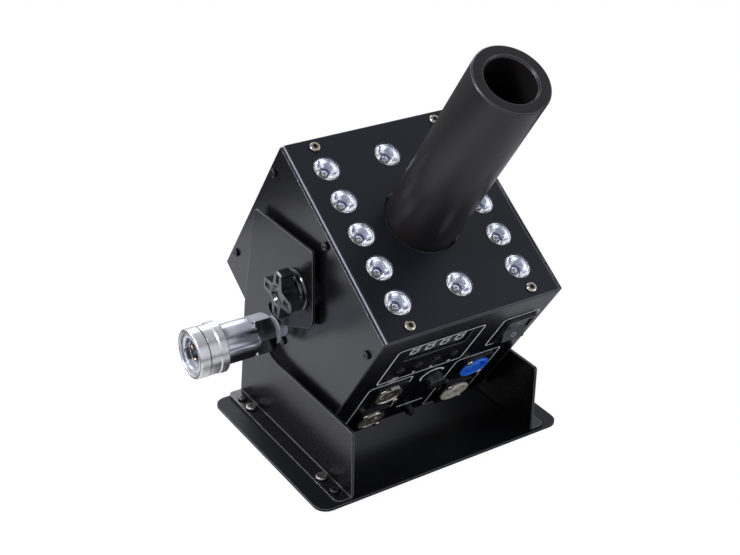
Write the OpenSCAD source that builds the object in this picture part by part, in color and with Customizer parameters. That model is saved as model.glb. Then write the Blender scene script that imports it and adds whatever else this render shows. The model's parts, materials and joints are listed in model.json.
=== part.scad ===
// Stage gas-jet machine with a ring of twelve lamps, tilting between two sheet-steel arms.
// The origin is on the floor under the middle of the base plate: X to the right, Y to the back, Z up.
// The head is drawn in its own frame, with its origin on the tilt axis and Z along the nozzle.

/* [Head box] */
// Width of the head over both side covers
head_w = 150; // [140:1:152]
// Depth of the head from the control panel to the back
head_d = 162; // [156:1:164]
// Height of the tilt axis above the bottom of the head
head_below = 96; // [94:1:98]
// Height of the lamp plate's top above the tilt axis
head_above = 60; // [58:1:66]
// Thickness of the shell and cover sheet
sheet = 1.5; // [1:0.25:2]
// Thickness of the lamp plate
lid_sheet = 2; // [1.5:0.25:2.5]
// Outer radius of the bends in the sheet
bend_r = 2.5; // [2.25:0.25:4]
// Width of the inward flanges that the side covers are screwed to
flange_w = 9; // [8:0.5:11]
// Width of the shell's returns under the lamp plate
return_w = 13; // [11:0.5:16]
// Depth of the lamp plate's folded sides
lid_fold = 14; // [12:0.5:16]
// Clearance between two sheet parts that meet
sheet_gap = 0.1; // [0.05:0.05:0.2]
// Tilt of the nozzle from upright, forwards
head_tilt = 34; // [20:1:34]

/* [Stand] */
// Width of the base plate
base_w = 214; // [200:1:230]
// Depth of the base plate
base_d = 164; // [160:1:180]
// Corner radius of the base plate
base_corner = 10; // [6:1:14]
// Thickness of the base plate and the arms
stand_sheet = 2; // [1.5:0.25:3]
// Height of the rubber feet
foot_h = 5; // [4:0.5:8]
// Radius of the rubber feet
foot_r = 9; // [7:0.5:10]
// Gap between a side cover and its arm
arm_gap = 4.3; // [3.8:0.1:6]
// Width of the arms' outward foot
arm_foot_w = 13.7; // [12:0.1:16]
// Gap under the head's corner as it swings past the base plate
swing_gap = 8.4; // [7:0.1:16]
// Distance of the tilt axis in front of the middle
pivot_fwd = 7; // [4:1:9]
// Back edge of an arm at its foot
arm_back = 83.3; // [82:0.1:84]
// Front edge of an arm at its foot
arm_front = 80.5; // [79:0.1:82]
// Height of the arm's ear above the tilt axis
ear_above = 38; // [32:1:44]
// Distance of the ear's front edge from the tilt axis
ear_front = 20; // [18:1:26]
// Distance of the ear's back corner from the tilt axis
ear_back = 62.3; // [56:0.1:66]
// Height of the arms' low front wall above the base plate
wall_h = 56; // [50:1:60]
// Radius of the two spare holes in each arm
spare_r = 5; // [4:0.25:5.5]

/* [Tilt knobs] */
// Radius of the threaded studs
stud_r = 4; // [3:0.5:5]
// Outer radius of the knobs
knob_r = 19; // [15:0.5:19.5]
// Height of the knobs off the arm
knob_h = 17; // [14:0.5:22]
// Number of lobes on each knob
knob_lobes = 4; // [3:1:6]
// Radius of the friction washers
washer_r = 17.3; // [14:0.1:18]

/* [Lamp plate] */
// Radius of each lamp window
window_r = 9.5; // [8:0.25:10]
// Distance of the outer lamp columns from the middle
lamp_x = 50.5; // [48:0.5:53]
// Distance of the end lamps from the plate's front and back edges
lamp_edge = 25.6; // [24.5:0.1:28]
// Recess of the lenses below the lamp plate's top
lens_recess = 0.6; // [0.2:0.1:1]
// Distance across of the plate's corner screws
lid_screw_x = 51; // [46:0.5:56]
// Distance of the plate's corner screws from its front and back edges
lid_screw_edge = 7; // [6:0.5:8]

/* [Nozzle] */
// Outer radius of the nozzle tube
tube_r = 27; // [24:0.5:28]
// Bore radius of the nozzle tube
tube_bore = 18; // [14:0.5:20]
// Height of the nozzle above the lamp plate
tube_out = 158; // [120:1:180]
// Gap round the nozzle tube in the lamp plate
tube_gap = 1.5; // [1:0.25:2.5]
// Chamfer at the mouth of the bore
mouth_chamfer = 1.3; // [0.5:0.1:2]
// Height of the bridge that carries the nozzle above the tilt axis
bridge_z = 20; // [16:1:24]

/* [Gas inlet] */
// Distance of the gas inlet below the tilt axis
inlet_drop = 58.5; // [56:0.5:60]
// Radius of the inlet nipple
nipple_r = 6.6; // [5.5:0.1:7]
// Length of the nipple outside the side cover
nipple_out = 12.4; // [11:0.1:14]
// Radius of the nipple's collar outside the arm
collar_out_r = 10.5; // [9:0.1:11.5]
// Width across flats of the coupler's hexagon
hex_flats = 26; // [24:0.5:28]
// Length of the hexagon
hex_len = 15; // [12:0.5:18]
// Radius of the coupler's barrel
barrel_r = 14.9; // [14.5:0.1:16]
// Length of the bare barrel
barrel_len = 25.6; // [20:0.1:30]
// Length of the sliding sleeve
sleeve_len = 23; // [21:0.5:26]
// Outer radius of the sliding sleeve
sleeve_r = 18.3; // [17.9:0.1:19]
// Bore radius at the coupler's mouth
mouth_r = 11.2; // [10.5:0.1:11.5]
// Radius of the locking balls
ball_r = 2.4; // [2:0.1:2.6]
// Number of locking balls
ball_count = 8; // [6:1:8]

/* [Control panel] */
// Width of the digit display
display_w = 50.3; // [46:0.1:52]
// Height of the digit display
display_h = 18; // [15:0.1:19]
// Middle of the digit display across the panel
display_x = -16; // [-18:0.5:-14]
// Middle of the digit display above the tilt axis
display_z = 25.5; // [24:0.5:27]
// Radius of the menu buttons
button_r = 3; // [2.5:0.1:3.5]
// Step between the menu buttons
button_step = 15.3; // [14:0.1:15.5]
// Width of the connector flanges
flange_plate_w = 26; // [25:0.5:27]
// Height of the connector flanges
flange_plate_h = 31; // [30:0.5:32]
// Distance of the two connector columns from the middle
signal_x = -34; // [-36:0.5:-33]
// Distance of the power connectors from the middle
power_x = 42; // [40:0.5:44]
// Height of the upper connectors, below the tilt axis
upper_drop = 38.6; // [38:0.1:41]
// Height of the lower connectors, below the tilt axis
lower_drop = 79.6; // [77:0.1:80]
// Radius of the opening in the signal sockets
socket_r = 9.6; // [9:0.1:9.8]
// Outer radius of the power connectors
power_r = 12; // [11:0.1:12.3]
// Width of the power switch's bezel
switch_w = 26; // [22:0.5:28]
// Height of the power switch's bezel
switch_h = 33; // [30:0.5:36]
// Swing of the power switch's rocker
switch_swing = 22; // [16:1:24]
// Radius of the fuse cap
fuse_cap_r = 7.5; // [6.5:0.1:8]

/* [Inside] */
// Half width of the valve body
valve_half_w = 22; // [18:1:24]
// Half depth of the valve body
valve_half_d = 15; // [12:1:16]
// Height of the valve body
valve_h = 31; // [30:1:34]
// Length of the valve's coil
coil_len = 35; // [28:1:38]
// Outer radius of the riser pipe
riser_r = 5; // [4:0.5:5.5]
// Height of the lamp board above the tilt axis
board_z = 42.4; // [41:0.2:43]
// Thickness of the circuit boards
board_t = 1.6; // [1:0.2:2]
// Width of the power supply
supply_w = 44; // [38:1:45]
// Length of the power supply
supply_len = 110; // [90:1:112]
// Height of the power supply
supply_h = 36; // [28:1:38]

/* [Screws] */
// Shank radius of the cover screws
cover_screw_r = 1.5; // [1.25:0.25:1.75]
// Head radius of the cover screws
cover_head_r = 3.25; // [2.75:0.25:3.5]
// Shank radius of the lamp plate screws
lid_screw_r = 1.9; // [1.5:0.1:2]
// Shank radius of the foot bolts
bolt_r = 2.5; // [2:0.5:3]
// Clearance of a screw in its hole
screw_gap = 0.15; // [0.1:0.05:0.3]
// Running clearance of a moving pin in its bore
run_gap = 0.05; // [0.03:0.01:0.1]

/* [Hidden] */
$fn = 64;
// Overrun of a cut past the faces it goes through
over = 1;

half_w = head_w / 2;
half_d = head_d / 2;
inner_x = half_w - sheet;
shell_top = head_above - lid_sheet;
cover_top = head_above - 1;
base_top = foot_h + stand_sheet;
pivot_z = base_top + norm([half_d, head_below]) + swing_gap;
arm_in = half_w + arm_gap;
arm_out = arm_in + stand_sheet;
foot_edge = arm_out + arm_foot_w - stand_sheet;
tube_tip = head_above + tube_out;
lid_screw_y = half_d - lid_screw_edge;

// The driven levels of the gas inlet, measured outwards along its axis from the middle of the head
hex_at = half_w + nipple_out;
barrel_at = hex_at + hex_len;
sleeve_at = barrel_at + barrel_len;
sleeve_end = sleeve_at + sleeve_len;
core_r = mouth_r + 3.1;
ball_at = sleeve_end - 8.5;
ball_centre = mouth_r + 1.4;
ring_at = sleeve_end - 4;
core_end = sleeve_end - 1.5;
seat_at = sleeve_end - 17;
land_r = ball_centre + ball_r + 0.1;
release_r = land_r + 1.1;
lead_at = ball_at + ball_r + 0.4;
lead_r = mouth_r + 0.3;

// The lamp positions: two outer columns of five and one lamp before and behind the nozzle
lamp_rows = [-2:2];
lamp_step = (half_d - lamp_edge) / 2;
lamps = concat(
    [for (side = [-1, 1], row = lamp_rows) [side * lamp_x, row * lamp_step]],
    [for (end = [-1, 1]) [0, end * 2 * lamp_step]]
);
lens_top = head_above - lens_recess;
lens_r = window_r - 0.2;
lens_foot_r = 3.4;
lens_rim_h = 3;
holder_r = window_r + 1.3;
board_top = board_z + board_t;
post_xy = 38;

// The cover screws on each side, as places in the cover's plane
cover_screws = [
    [half_d - 5.5, 35],
    [half_d - 5.5, -73.5],
    [6.5 - half_d, 34],
    [6.5 - half_d, -73.5],
    [2, shell_top - 6],
    [0, 4.5 - head_below]
];
cover_screw_len = 2 * sheet + 2.5;
bracket_screw_y = 6.8;
bracket_screw_z = -inlet_drop - 9.5;

// The control panel, in places across it and above the tilt axis
button_x = [for (i = [0:3]) -38.3 + i * button_step];
button_z = 0.5;
upper_z = -upper_drop;
lower_z = -lower_drop;
switch_x = 55;
switch_z = 13;
fuse_x = 3;
fuse_z = -33;
ground_x = 4;
ground_z = -88;
connector_spots = [
    [signal_x, upper_z],
    [signal_x, lower_z],
    [power_x, upper_z],
    [power_x, lower_z]
];
connector_screw = [9.5, 12];

// The valve, with its axis across the head and its coil to the back
valve_top = valve_h / 2 - inlet_drop;
valve_floor = valve_top - valve_h;

// Unit vector along v
function unit(v) = v / norm(v);

// The points that take the place of one corner: a tangent arc, or the corner itself
function corner(before, here, after, steps) =
    let (
        p = [here[0], here[1]],
        u = unit([before[0], before[1]] - p),
        v = unit([after[0], after[1]] - p),
        half = acos(u * v) / 2,
        centre = p + unit(u + v) * here[2] / sin(half),
        first = p + u * here[2] / tan(half) - centre,
        last = p + v * here[2] / tan(half) - centre,
        start = atan2(first[1], first[0]),
        sweep = (180 - 2 * half) * sign(first[0] * last[1] - first[1] * last[0])
    )
    here[2] == 0 ? [p] : [
        for (k = [0:steps])
        centre + here[2] * [cos(start + sweep * k / steps), sin(start + sweep * k / steps)]
    ];

// A closed outline from corners given as [x, y, radius]
function rounded(corners, steps = 6) =
    let (n = len(corners))
    [
        for (i = [0:n - 1])
        each corner(corners[(i + n - 1) % n], corners[i], corners[(i + 1) % n], steps)
    ];

// A rectangle with round corners, about the origin
function slab(w, h, r) = rounded([
    [-w / 2, -h / 2, r],
    [w / 2, -h / 2, r],
    [w / 2, h / 2, r],
    [-w / 2, h / 2, r]
]);

// Places what is drawn in the head's own frame
module on_head() {
    translate([0, -pivot_fwd, pivot_z]) rotate([head_tilt, 0, 0]) children();
}

// Extrudes an outline in Y and Z along X, from x for a length
module along_x(x, length) {
    translate([x, 0, 0]) rotate([90, 0, 90]) linear_extrude(length) children();
}

// Extrudes an outline in X and Z along Y, from back to front over a length
module along_y(back, length) {
    translate([0, back, 0]) rotate([90, 0, 0]) linear_extrude(length) children();
}

// Places what stands on the control panel: X to the right, Y up the panel, Z out of it
module on_panel(x, z) {
    translate([x, -half_d, z]) rotate([90, 0, 0]) children();
}

// Places what stands on a side cover, with Z outwards: side is -1 for left and 1 for right
module on_side(side, y, z) {
    translate([side * half_w, y, z]) rotate([0, side * 90, 0]) children();
}

// Places what lies along the gas inlet, with Z outwards from the middle of the head
module on_inlet() {
    translate([0, 0, -inlet_drop]) rotate([0, -90, 0]) children();
}

// A hexagonal prism of a given width across flats
module hexagon(flats, length) {
    cylinder(h = length, r = flats / sqrt(3), $fn = 6);
}

// A nut standing on Z = 0
module nut(flats, height, bore) {
    difference() {
        intersection() {
            hexagon(flats, height);
            rotate_extrude() polygon([
                [0, 0],
                [flats / 2, 0],
                [flats / sqrt(3), height * 0.15],
                [flats / sqrt(3), height * 0.85],
                [flats / 2, height],
                [0, height]
            ]);
        }
        translate([0, 0, -over]) cylinder(h = height + 2 * over, r = bore);
    }
}

// A screw whose head stands on Z = 0 with its shank below, and a hexagonal socket in its head
module socket_screw(shank, head, head_h, length) {
    difference() {
        rotate_extrude() polygon([
            [0, -length],
            [shank, -length],
            [shank, 0],
            [head, 0],
            [head, head_h * 0.55],
            [head * 0.88, head_h * 0.85],
            [head * 0.7, head_h],
            [0, head_h]
        ]);
        translate([0, 0, head_h * 0.2]) hexagon(head * 0.9, head_h);
    }
}

// A screw whose head stands on Z = 0 with its shank below, and a cross cut in its domed head
module screw(shank, head, head_h, length) {
    slot = shank * 0.45;
    difference() {
        rotate_extrude() polygon(concat(
            [[0, -length], [shank, -length], [shank, 0]],
            [for (a = [0:15:90]) [head * (0.75 + 0.25 * cos(a)), head_h * (0.35 + 0.65 * sin(a))]],
            [[0, head_h]]
        ));
        for (turn = [45, 135])
            rotate([0, 0, turn]) translate([-head * 0.6, -slot / 2, head_h * 0.45])
                cube([head * 1.2, slot, head_h]);
    }
}

// The stand

stand_screw_r = 2;
screw_row_x = (arm_out + foot_edge) / 2;
foot_inset = [12.5, 13.8];
bolt_inset = [30.5, 28.3];
foot_spots = [
    for (side = [-1, 1], y = [foot_inset[0] - arm_front, arm_back - foot_inset[1]])
    [side * screw_row_x, y]
];
bolt_spots = [
    for (side = [-1, 1], y = [bolt_inset[0] - arm_front, arm_back - bolt_inset[1]])
    [side * screw_row_x, y]
];
arm_foot_top = base_top + stand_sheet;

module base_plate() {
    color("#2b3038") difference() {
        translate([0, 0, foot_h]) linear_extrude(stand_sheet)
            polygon(slab(base_w, base_d, base_corner));
        for (p = foot_spots) translate([p[0], p[1], 0])
            cylinder(h = base_top + over, r = stand_screw_r + screw_gap);
        for (p = bolt_spots) translate([p[0], p[1], 0])
            cylinder(h = base_top + over, r = bolt_r + screw_gap);
    }
}

module rubber_feet() {
    color("#3a3a3c") for (p = foot_spots) translate([p[0], p[1], 0]) difference() {
        rotate_extrude() polygon([
            [0, 0],
            [foot_r - 1.6, 0],
            [foot_r - 1, 0.6],
            [foot_r, foot_h],
            [0, foot_h]
        ]);
        translate([0, 0, 1]) cylinder(h = foot_h, r = stand_screw_r + screw_gap);
    }
}

module stand_screws() {
    color("#1c1d20") for (p = foot_spots) translate([p[0], p[1], arm_foot_top])
        screw(stand_screw_r, 3.6, 2, arm_foot_top - 1.5);
}

module flange_bolts() {
    color("#8f9296") for (p = bolt_spots) translate([p[0], p[1], arm_foot_top]) {
        screw(bolt_r, 4.6, 2.6, 2 * stand_sheet + 1.5);
    }
}

// The arm's outline from the side, with the throat that the gas inlet swings through
ear_chin = 22.6;
throat_top = 41.2;
throat_corner = 49;
throat_back = 52;
wall_corner_r = 21;
elbow_in = 9.6;
elbow_h = 84;
module arm_outline() {
    py = -pivot_fwd;
    polygon(rounded([
        [arm_back, base_top, 0],
        [arm_back - elbow_in, base_top + elbow_h, 30],
        [py + ear_back, pivot_z + ear_above, 6],
        [py - ear_front, pivot_z + ear_above, 2],
        [py - ear_front, pivot_z - ear_chin, 14],
        [py + throat_back - 27.5, pivot_z - throat_top, 2],
        [py + throat_back - 16.5, pivot_z - throat_top, 3],
        [py + throat_back, pivot_z - throat_corner, 3],
        [py + throat_back, base_top + wall_h, wall_corner_r],
        [-arm_front, base_top + wall_h, 2],
        [-arm_front, base_top, 0]
    ]));
}

spare_holes = [[-pivot_fwd + 38, pivot_z - 34.1], [-pivot_fwd + 19.3, pivot_z - 25.7]];
stand_bend = stand_sheet + 0.5;
arm_corner = 5;

// The left arm: one sheet, bent outwards at its foot
module arm() {
    top = pivot_z + ear_above + over;
    difference() {
        intersection() {
            along_y(arm_back + over, arm_back + arm_front + 2 * over) polygon(rounded([
                [-arm_in, base_top, stand_bend],
                [-arm_in, top, 0],
                [-arm_out, top, 0],
                [-arm_out, arm_foot_top, stand_bend - stand_sheet],
                [-foot_edge, arm_foot_top, 0],
                [-foot_edge, base_top, 0]
            ]));
            along_x(-foot_edge - over, foot_edge + over) arm_outline();
            linear_extrude(top) polygon(rounded([
                [-foot_edge, -arm_front, arm_corner],
                [0, -arm_front, 0],
                [0, arm_back, 0],
                [-foot_edge, arm_back, arm_corner]
            ]));
        }
        translate([-arm_out - over, -pivot_fwd, pivot_z]) rotate([0, 90, 0])
            cylinder(h = stand_sheet + 2 * over, r = stud_r + 2 * run_gap);
        for (p = spare_holes) translate([-arm_out - over, p[0], p[1]]) rotate([0, 90, 0])
            cylinder(h = stand_sheet + 2 * over, r = spare_r);
        for (p = foot_spots) translate([p[0], p[1], 0])
            cylinder(h = arm_foot_top + over, r = stand_screw_r + screw_gap);
        for (p = bolt_spots) translate([p[0], p[1], 0])
            cylinder(h = arm_foot_top + over, r = bolt_r + screw_gap);
    }
}
module arm_left() { color("#232427") arm(); }
module arm_right() { color("#232427") mirror([1, 0, 0]) arm(); }

// The head's sheet metal

// The shell's section, grown inwards by an inset
module shell_section(inset, r) {
    polygon(rounded([
        [inset - half_d, inset - head_below, r],
        [half_d - inset, inset - head_below, r],
        [half_d - inset, shell_top - inset, r],
        [inset - half_d, shell_top - inset, r]
    ]));
}

board_posts_xy = [
    for (x = [-display_w / 2 - 8, display_w / 2 + 6], z = [-37, 12.5]) [display_x + x, display_z + z]
];
window_slack = 0.7;
switch_cut = [switch_w - 2.6, switch_h - 4];
vent_w = 3;
vent_h = 40;

// The openings in the control panel, as an outline on it
module panel_openings() {
    translate([display_x, display_z])
        square([display_w + 2 * window_slack, display_h + window_slack], center = true);
    for (x = button_x) translate([x, button_z]) circle(r = button_r + 0.2);
    for (z = [upper_z, lower_z]) {
        translate([signal_x, z]) circle(r = socket_r + 1.5);
        translate([power_x, z]) circle(r = power_r + 0.1);
    }
    translate([signal_x, upper_z]) latch_slot(0.25);
    for (c = connector_spots, s = [-1, 1])
        translate([c[0] - s * connector_screw[0], c[1] + s * connector_screw[1]])
            circle(r = cover_screw_r + screw_gap);
    translate([switch_x, switch_z]) square(switch_cut + [0.4, 0.4], center = true);
    translate([fuse_x, fuse_z]) circle(r = fuse_body_r + 0.1);
    translate([ground_x, ground_z]) circle(r = ground_r + screw_gap);
}

module wrap_shell() {
    flange_x = inner_x - sheet;
    color("#3b3c40") on_head() {
        difference() {
            union() {
                along_x(-inner_x, 2 * inner_x) difference() {
                    shell_section(0, bend_r);
                    shell_section(sheet, bend_r - sheet);
                    translate([return_w - half_d, 0])
                        square([head_d - 2 * return_w, shell_top + over]);
                }
                for (x = [-inner_x, flange_x]) along_x(x, sheet) difference() {
                    shell_section(0, bend_r);
                    translate([flange_w - half_d, flange_w - head_below])
                        square([head_d - 2 * flange_w, head_below + head_above]);
                }
            }
            translate([0, sheet + over - half_d, 0]) rotate([90, 0, 0])
                linear_extrude(sheet + 2 * over) panel_openings();
            for (x = [-lid_screw_x, lid_screw_x], y = [-lid_screw_y, lid_screw_y])
                translate([x, y, shell_top - 3 * sheet])
                    cylinder(h = 3 * sheet + over, r = lid_screw_r + run_gap);
            for (side = [-1, 1], p = cover_screws) on_side(side, p[0], p[1])
                translate([0, 0, -2 * flange_w]) cylinder(h = 2 * flange_w, r = cover_screw_r + run_gap);
            for (i = [-4:4]) translate([i * 3 * vent_w - vent_w / 2, half_d - sheet - over, vent_z])
                cube([vent_w, sheet + 2 * over, vent_h]);
        }
        for (p = board_posts_xy) on_panel(p[0], p[1]) {
            translate([0, 0, board_face]) cylinder(h = -board_face - sheet, r = 2.5);
            translate([0, 0, board_face - board_t - 0.6]) cylinder(h = board_t + 0.7, r = 1.25);
        }
    }
}
vent_z = -70;

// A side cover lies over the shell's edges; the left one lets the gas inlet through
module side_cover(side) {
    difference() {
        along_x(side < 0 ? -half_w : inner_x, sheet) polygon(rounded([
            [-half_d, -head_below, 1],
            [half_d, -head_below, 1],
            [half_d, cover_top, 0.5],
            [-half_d, cover_top, 0.5]
        ], 3));
        for (p = cover_screws) on_side(side, p[0], p[1]) translate([0, 0, -sheet - over])
            cylinder(h = sheet + 2 * over, r = cover_screw_r + screw_gap);
        on_side(side, 0, 0) translate([0, 0, -sheet - over])
            cylinder(h = sheet + 2 * over, r = stud_r + 0.25);
    }
}

module side_cover_left() {
    color("#3f4044") on_head() difference() {
        side_cover(-1);
        on_inlet() translate([0, 0, inner_x - over])
            cylinder(h = sheet + 2 * over, r = nipple_r + 0.4);
        for (s = [-1, 1]) on_side(-1, s * bracket_screw_y, bracket_screw_z)
            translate([0, 0, -sheet - over])
                cylinder(h = sheet + 2 * over, r = cover_screw_r + screw_gap);
    }
}
module side_cover_right() { color("#3f4044") on_head() side_cover(1); }

module side_cover_screws() {
    color("#151618") on_head() {
        for (side = [-1, 1], p = cover_screws) on_side(side, p[0], p[1])
            screw(cover_screw_r, cover_head_r, 2.2, cover_screw_len);
        for (s = [-1, 1]) on_side(-1, s * bracket_screw_y, bracket_screw_z)
            screw(cover_screw_r, cover_head_r, 2.2, cover_screw_len);
    }
}

lid_half = inner_x - sheet_gap;
lid_bend = lid_sheet + 0.5;
lid_fold_y = half_d - return_w - 0.5;

// The lamp plate: a tray whose sides fold down inside the covers
module lamp_plate() {
    color("#2e323a") on_head() difference() {
        along_y(half_d, head_d) difference() {
            polygon(rounded([
                [-lid_half, head_above - lid_fold, 0],
                [lid_half, head_above - lid_fold, 0],
                [lid_half, head_above, lid_bend],
                [-lid_half, head_above, lid_bend]
            ]));
            polygon(rounded([
                [lid_sheet - lid_half, head_above - lid_fold - over, 0],
                [lid_half - lid_sheet, head_above - lid_fold - over, 0],
                [lid_half - lid_sheet, shell_top, lid_bend - lid_sheet],
                [lid_sheet - lid_half, shell_top, lid_bend - lid_sheet]
            ]));
        }
        for (y = [-half_d - over, lid_fold_y]) translate([-half_w, y, shell_top - lid_fold])
            cube([head_w, half_d - lid_fold_y + over, lid_fold]);
        for (p = lamps) translate([p[0], p[1], shell_top - over])
            cylinder(h = lid_sheet + 2 * over, r = window_r);
        translate([0, 0, shell_top - over])
            cylinder(h = lid_sheet + 2 * over, r = tube_r + tube_gap);
        for (x = [-lid_screw_x, lid_screw_x], y = [-lid_screw_y, lid_screw_y])
            translate([x, y, shell_top - over])
                cylinder(h = lid_sheet + 2 * over, r = lid_screw_r + screw_gap);
        for (side = [-1, 1], p = cover_screws) on_side(side, p[0], p[1])
            translate([0, 0, -flange_w]) cylinder(h = flange_w, r = cover_screw_r + run_gap);
    }
}

module lamp_plate_screws() {
    color("#a9adb2") on_head()
        for (x = [-lid_screw_x, lid_screw_x], y = [-lid_screw_y, lid_screw_y])
            translate([x, y, head_above])
                socket_screw(lid_screw_r, 3.9, 1.9, lid_sheet + sheet + 3);
}

// The tilt pivots

washer_t = arm_gap - 0.1;
pivot_nut_r = 11;
pivot_nut_t = 2;
pivot_nut_h = 11.5;

module pivot_washers() {
    color("#17181a") on_head() for (side = [-1, 1]) on_side(side, 0, 0) difference() {
        rotate_extrude() polygon([
            [0, 0],
            [washer_r, 0],
            [washer_r, washer_t - 0.8],
            [washer_r - 0.8, washer_t],
            [0, washer_t]
        ]);
        translate([0, 0, -over]) cylinder(h = arm_gap + over, r = stud_r + 0.25);
    }
}

module pivot_nuts() {
    color("#9a9da1") on_head() for (side = [-1, 1]) on_side(side, 0, 0) {
        translate([0, 0, -sheet]) difference() {
            union() {
                translate([0, 0, -pivot_nut_t]) cylinder(h = pivot_nut_t, r = pivot_nut_r);
                translate([0, 0, -pivot_nut_h]) hexagon(14, pivot_nut_h);
            }
            translate([0, 0, -pivot_nut_h - over])
                cylinder(h = pivot_nut_h + 2 * over, r = stud_r + run_gap);
        }
    }
}

// A knob moulded on its stud, with Z = 0 on the arm's outer face: a round skirt with a raised
// ring, a neck, and a star-shaped grip with a dished end and a pocket in the end of each lobe
knob_skirt_r = 15.4;
knob_skirt_h = 2.6;
knob_ring_r = 10.4;
knob_ring_h = 1.2;
knob_neck_r = 8;
knob_grip_at = 7;
knob_gap_r = 8.6;
knob_dish_r = 7;
knob_turn = 27;
lobe_half = 4.2;
pocket_half = 2.2;
pocket_from = 9.4;
pocket_depth = 1.6;

// The grip's outline: straight-sided lobes with round ends and round gaps between them
module knob_star() {
    step = 360 / knob_lobes;
    polygon(rounded([
        for (i = [0:knob_lobes - 1])
        let (
            out = [cos(i * step), sin(i * step)],
            across = [-sin(i * step), cos(i * step)],
            gap = [cos((i + 0.5) * step), sin((i + 0.5) * step)],
            right = knob_r * out - lobe_half * across,
            left = knob_r * out + lobe_half * across
        )
        each [
            [right[0], right[1], 2.8],
            [left[0], left[1], 2.8],
            [knob_gap_r * gap[0], knob_gap_r * gap[1], 2.5]
        ]
    ], 4));
}

module knob() {
    difference() {
        union() {
            rotate_extrude() polygon([
                [0, run_gap],
                [knob_skirt_r - 0.5, run_gap],
                [knob_skirt_r, 0.6],
                [knob_skirt_r, knob_skirt_h - 0.8],
                [knob_skirt_r - 0.8, knob_skirt_h],
                [knob_ring_r, knob_skirt_h],
                [knob_ring_r - 0.4, knob_skirt_h + knob_ring_h],
                [knob_ring_r - 1.4, knob_skirt_h + knob_ring_h],
                [knob_neck_r, knob_skirt_h + 0.4],
                [knob_neck_r, knob_grip_at + over],
                [0, knob_grip_at + over]
            ]);
            intersection() {
                translate([0, 0, knob_grip_at]) linear_extrude(knob_h - knob_grip_at) knob_star();
                rotate_extrude() polygon(rounded([
                    [0, knob_grip_at, 0],
                    [knob_r + 1, knob_grip_at, 2],
                    [knob_r + 1, knob_h, 3],
                    [0, knob_h, 0]
                ]));
            }
        }
        rotate_extrude() polygon([
            [0, knob_h - 2.4],
            [knob_dish_r - 1.6, knob_h - 2.4],
            [knob_dish_r, knob_h - 0.6],
            [knob_dish_r + 0.6, knob_h],
            [knob_dish_r + 0.6, knob_h + over],
            [0, knob_h + over]
        ]);
        for (i = [0:knob_lobes - 1]) rotate([0, 0, i * 360 / knob_lobes])
            translate([pocket_from, -pocket_half, knob_h - pocket_depth])
                cube([knob_r - pocket_from - 2.6, 2 * pocket_half, pocket_depth + over]);
    }
    translate([0, 0, -stud_in]) cylinder(h = stud_in + knob_skirt_h, r = stud_r);
}
stud_in = stand_sheet + arm_gap + sheet + pivot_nut_h - 1;

module tilt_knob_left() {
    color("#121315") on_head() on_side(-1, 0, 0) translate([0, 0, arm_out - half_w])
        rotate([0, 0, knob_turn]) knob();
}
module tilt_knob_right() {
    color("#121315") on_head() on_side(1, 0, 0) translate([0, 0, arm_out - half_w])
        rotate([0, 0, knob_turn]) knob();
}

// The nozzle and its gas pipe

bridge_t = 2;
bridge_half = 45;
collar_r = tube_r + 4;
collar_h = 12;
tube_foot = bridge_z + bridge_t;
jet_spigot = 8;
jet_hex_h = 5;
jet_flats = 24;
jet_nut_flats = 22;
jet_nut_h = 6;
jet_len = 24;
jet_top = tube_foot + jet_len;
jet_bore = 2.5;
spigot_foot = bridge_z - 16;
chamber_top = jet_top + 10;
pipe_seat = 8;

module nozzle_tube() {
    color("#34322f") on_head() rotate_extrude($fn = 96) polygon([
        [tube_bore, chamber_top],
        [tube_bore + 2, chamber_top - 2],
        [tube_bore + 2, tube_foot],
        [tube_r - 0.8, tube_foot],
        [tube_r, tube_foot + 0.8],
        [tube_r, tube_tip - 0.8],
        [tube_r - 0.8, tube_tip],
        [tube_bore + mouth_chamfer, tube_tip],
        [tube_bore, tube_tip - mouth_chamfer]
    ]);
}

module nozzle_bridge() {
    color("#8d9094") on_head() difference() {
        union() {
            translate([0, 0, bridge_z]) linear_extrude(bridge_t)
                polygon(slab(2 * bridge_half, 2 * bridge_half, 6));
            translate([0, 0, bridge_z]) cylinder(h = bridge_t + collar_h, r = collar_r);
        }
        translate([0, 0, tube_foot]) cylinder(h = collar_h + over, r = tube_r + run_gap);
        translate([0, 0, bridge_z - over]) cylinder(h = bridge_t + 2 * over, r = jet_spigot + 0.1);
        for (x = [-post_xy, post_xy], y = [-post_xy, post_xy]) translate([x, y, bridge_z - over])
            cylinder(h = bridge_t + 2 * over, r = post_screw_r + 0.1);
    }
}

module jet() {
    color("#b08d3c") on_head() difference() {
        union() {
            translate([0, 0, spigot_foot]) cylinder(h = tube_foot - spigot_foot, r = jet_spigot);
            translate([0, 0, tube_foot]) hexagon(jet_flats, jet_hex_h);
            translate([0, 0, tube_foot + jet_hex_h])
                cylinder(h = jet_top - tube_foot - jet_hex_h, r1 = 7, r2 = 4.5);
        }
        translate([0, 0, spigot_foot - over]) cylinder(h = pipe_seat + over, r = riser_r + run_gap);
        translate([0, 0, spigot_foot]) cylinder(h = jet_top, r = jet_bore);
    }
}

riser_foot = valve_top - 10;
riser_head = spigot_foot + pipe_seat;
module riser_pipe() {
    color("#b87333") on_head() difference() {
        translate([0, 0, riser_foot]) cylinder(h = riser_head - riser_foot, r = riser_r);
        translate([0, 0, riser_foot - over])
            cylinder(h = riser_head - riser_foot + 2 * over, r = riser_r - 1.2);
    }
}

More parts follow.
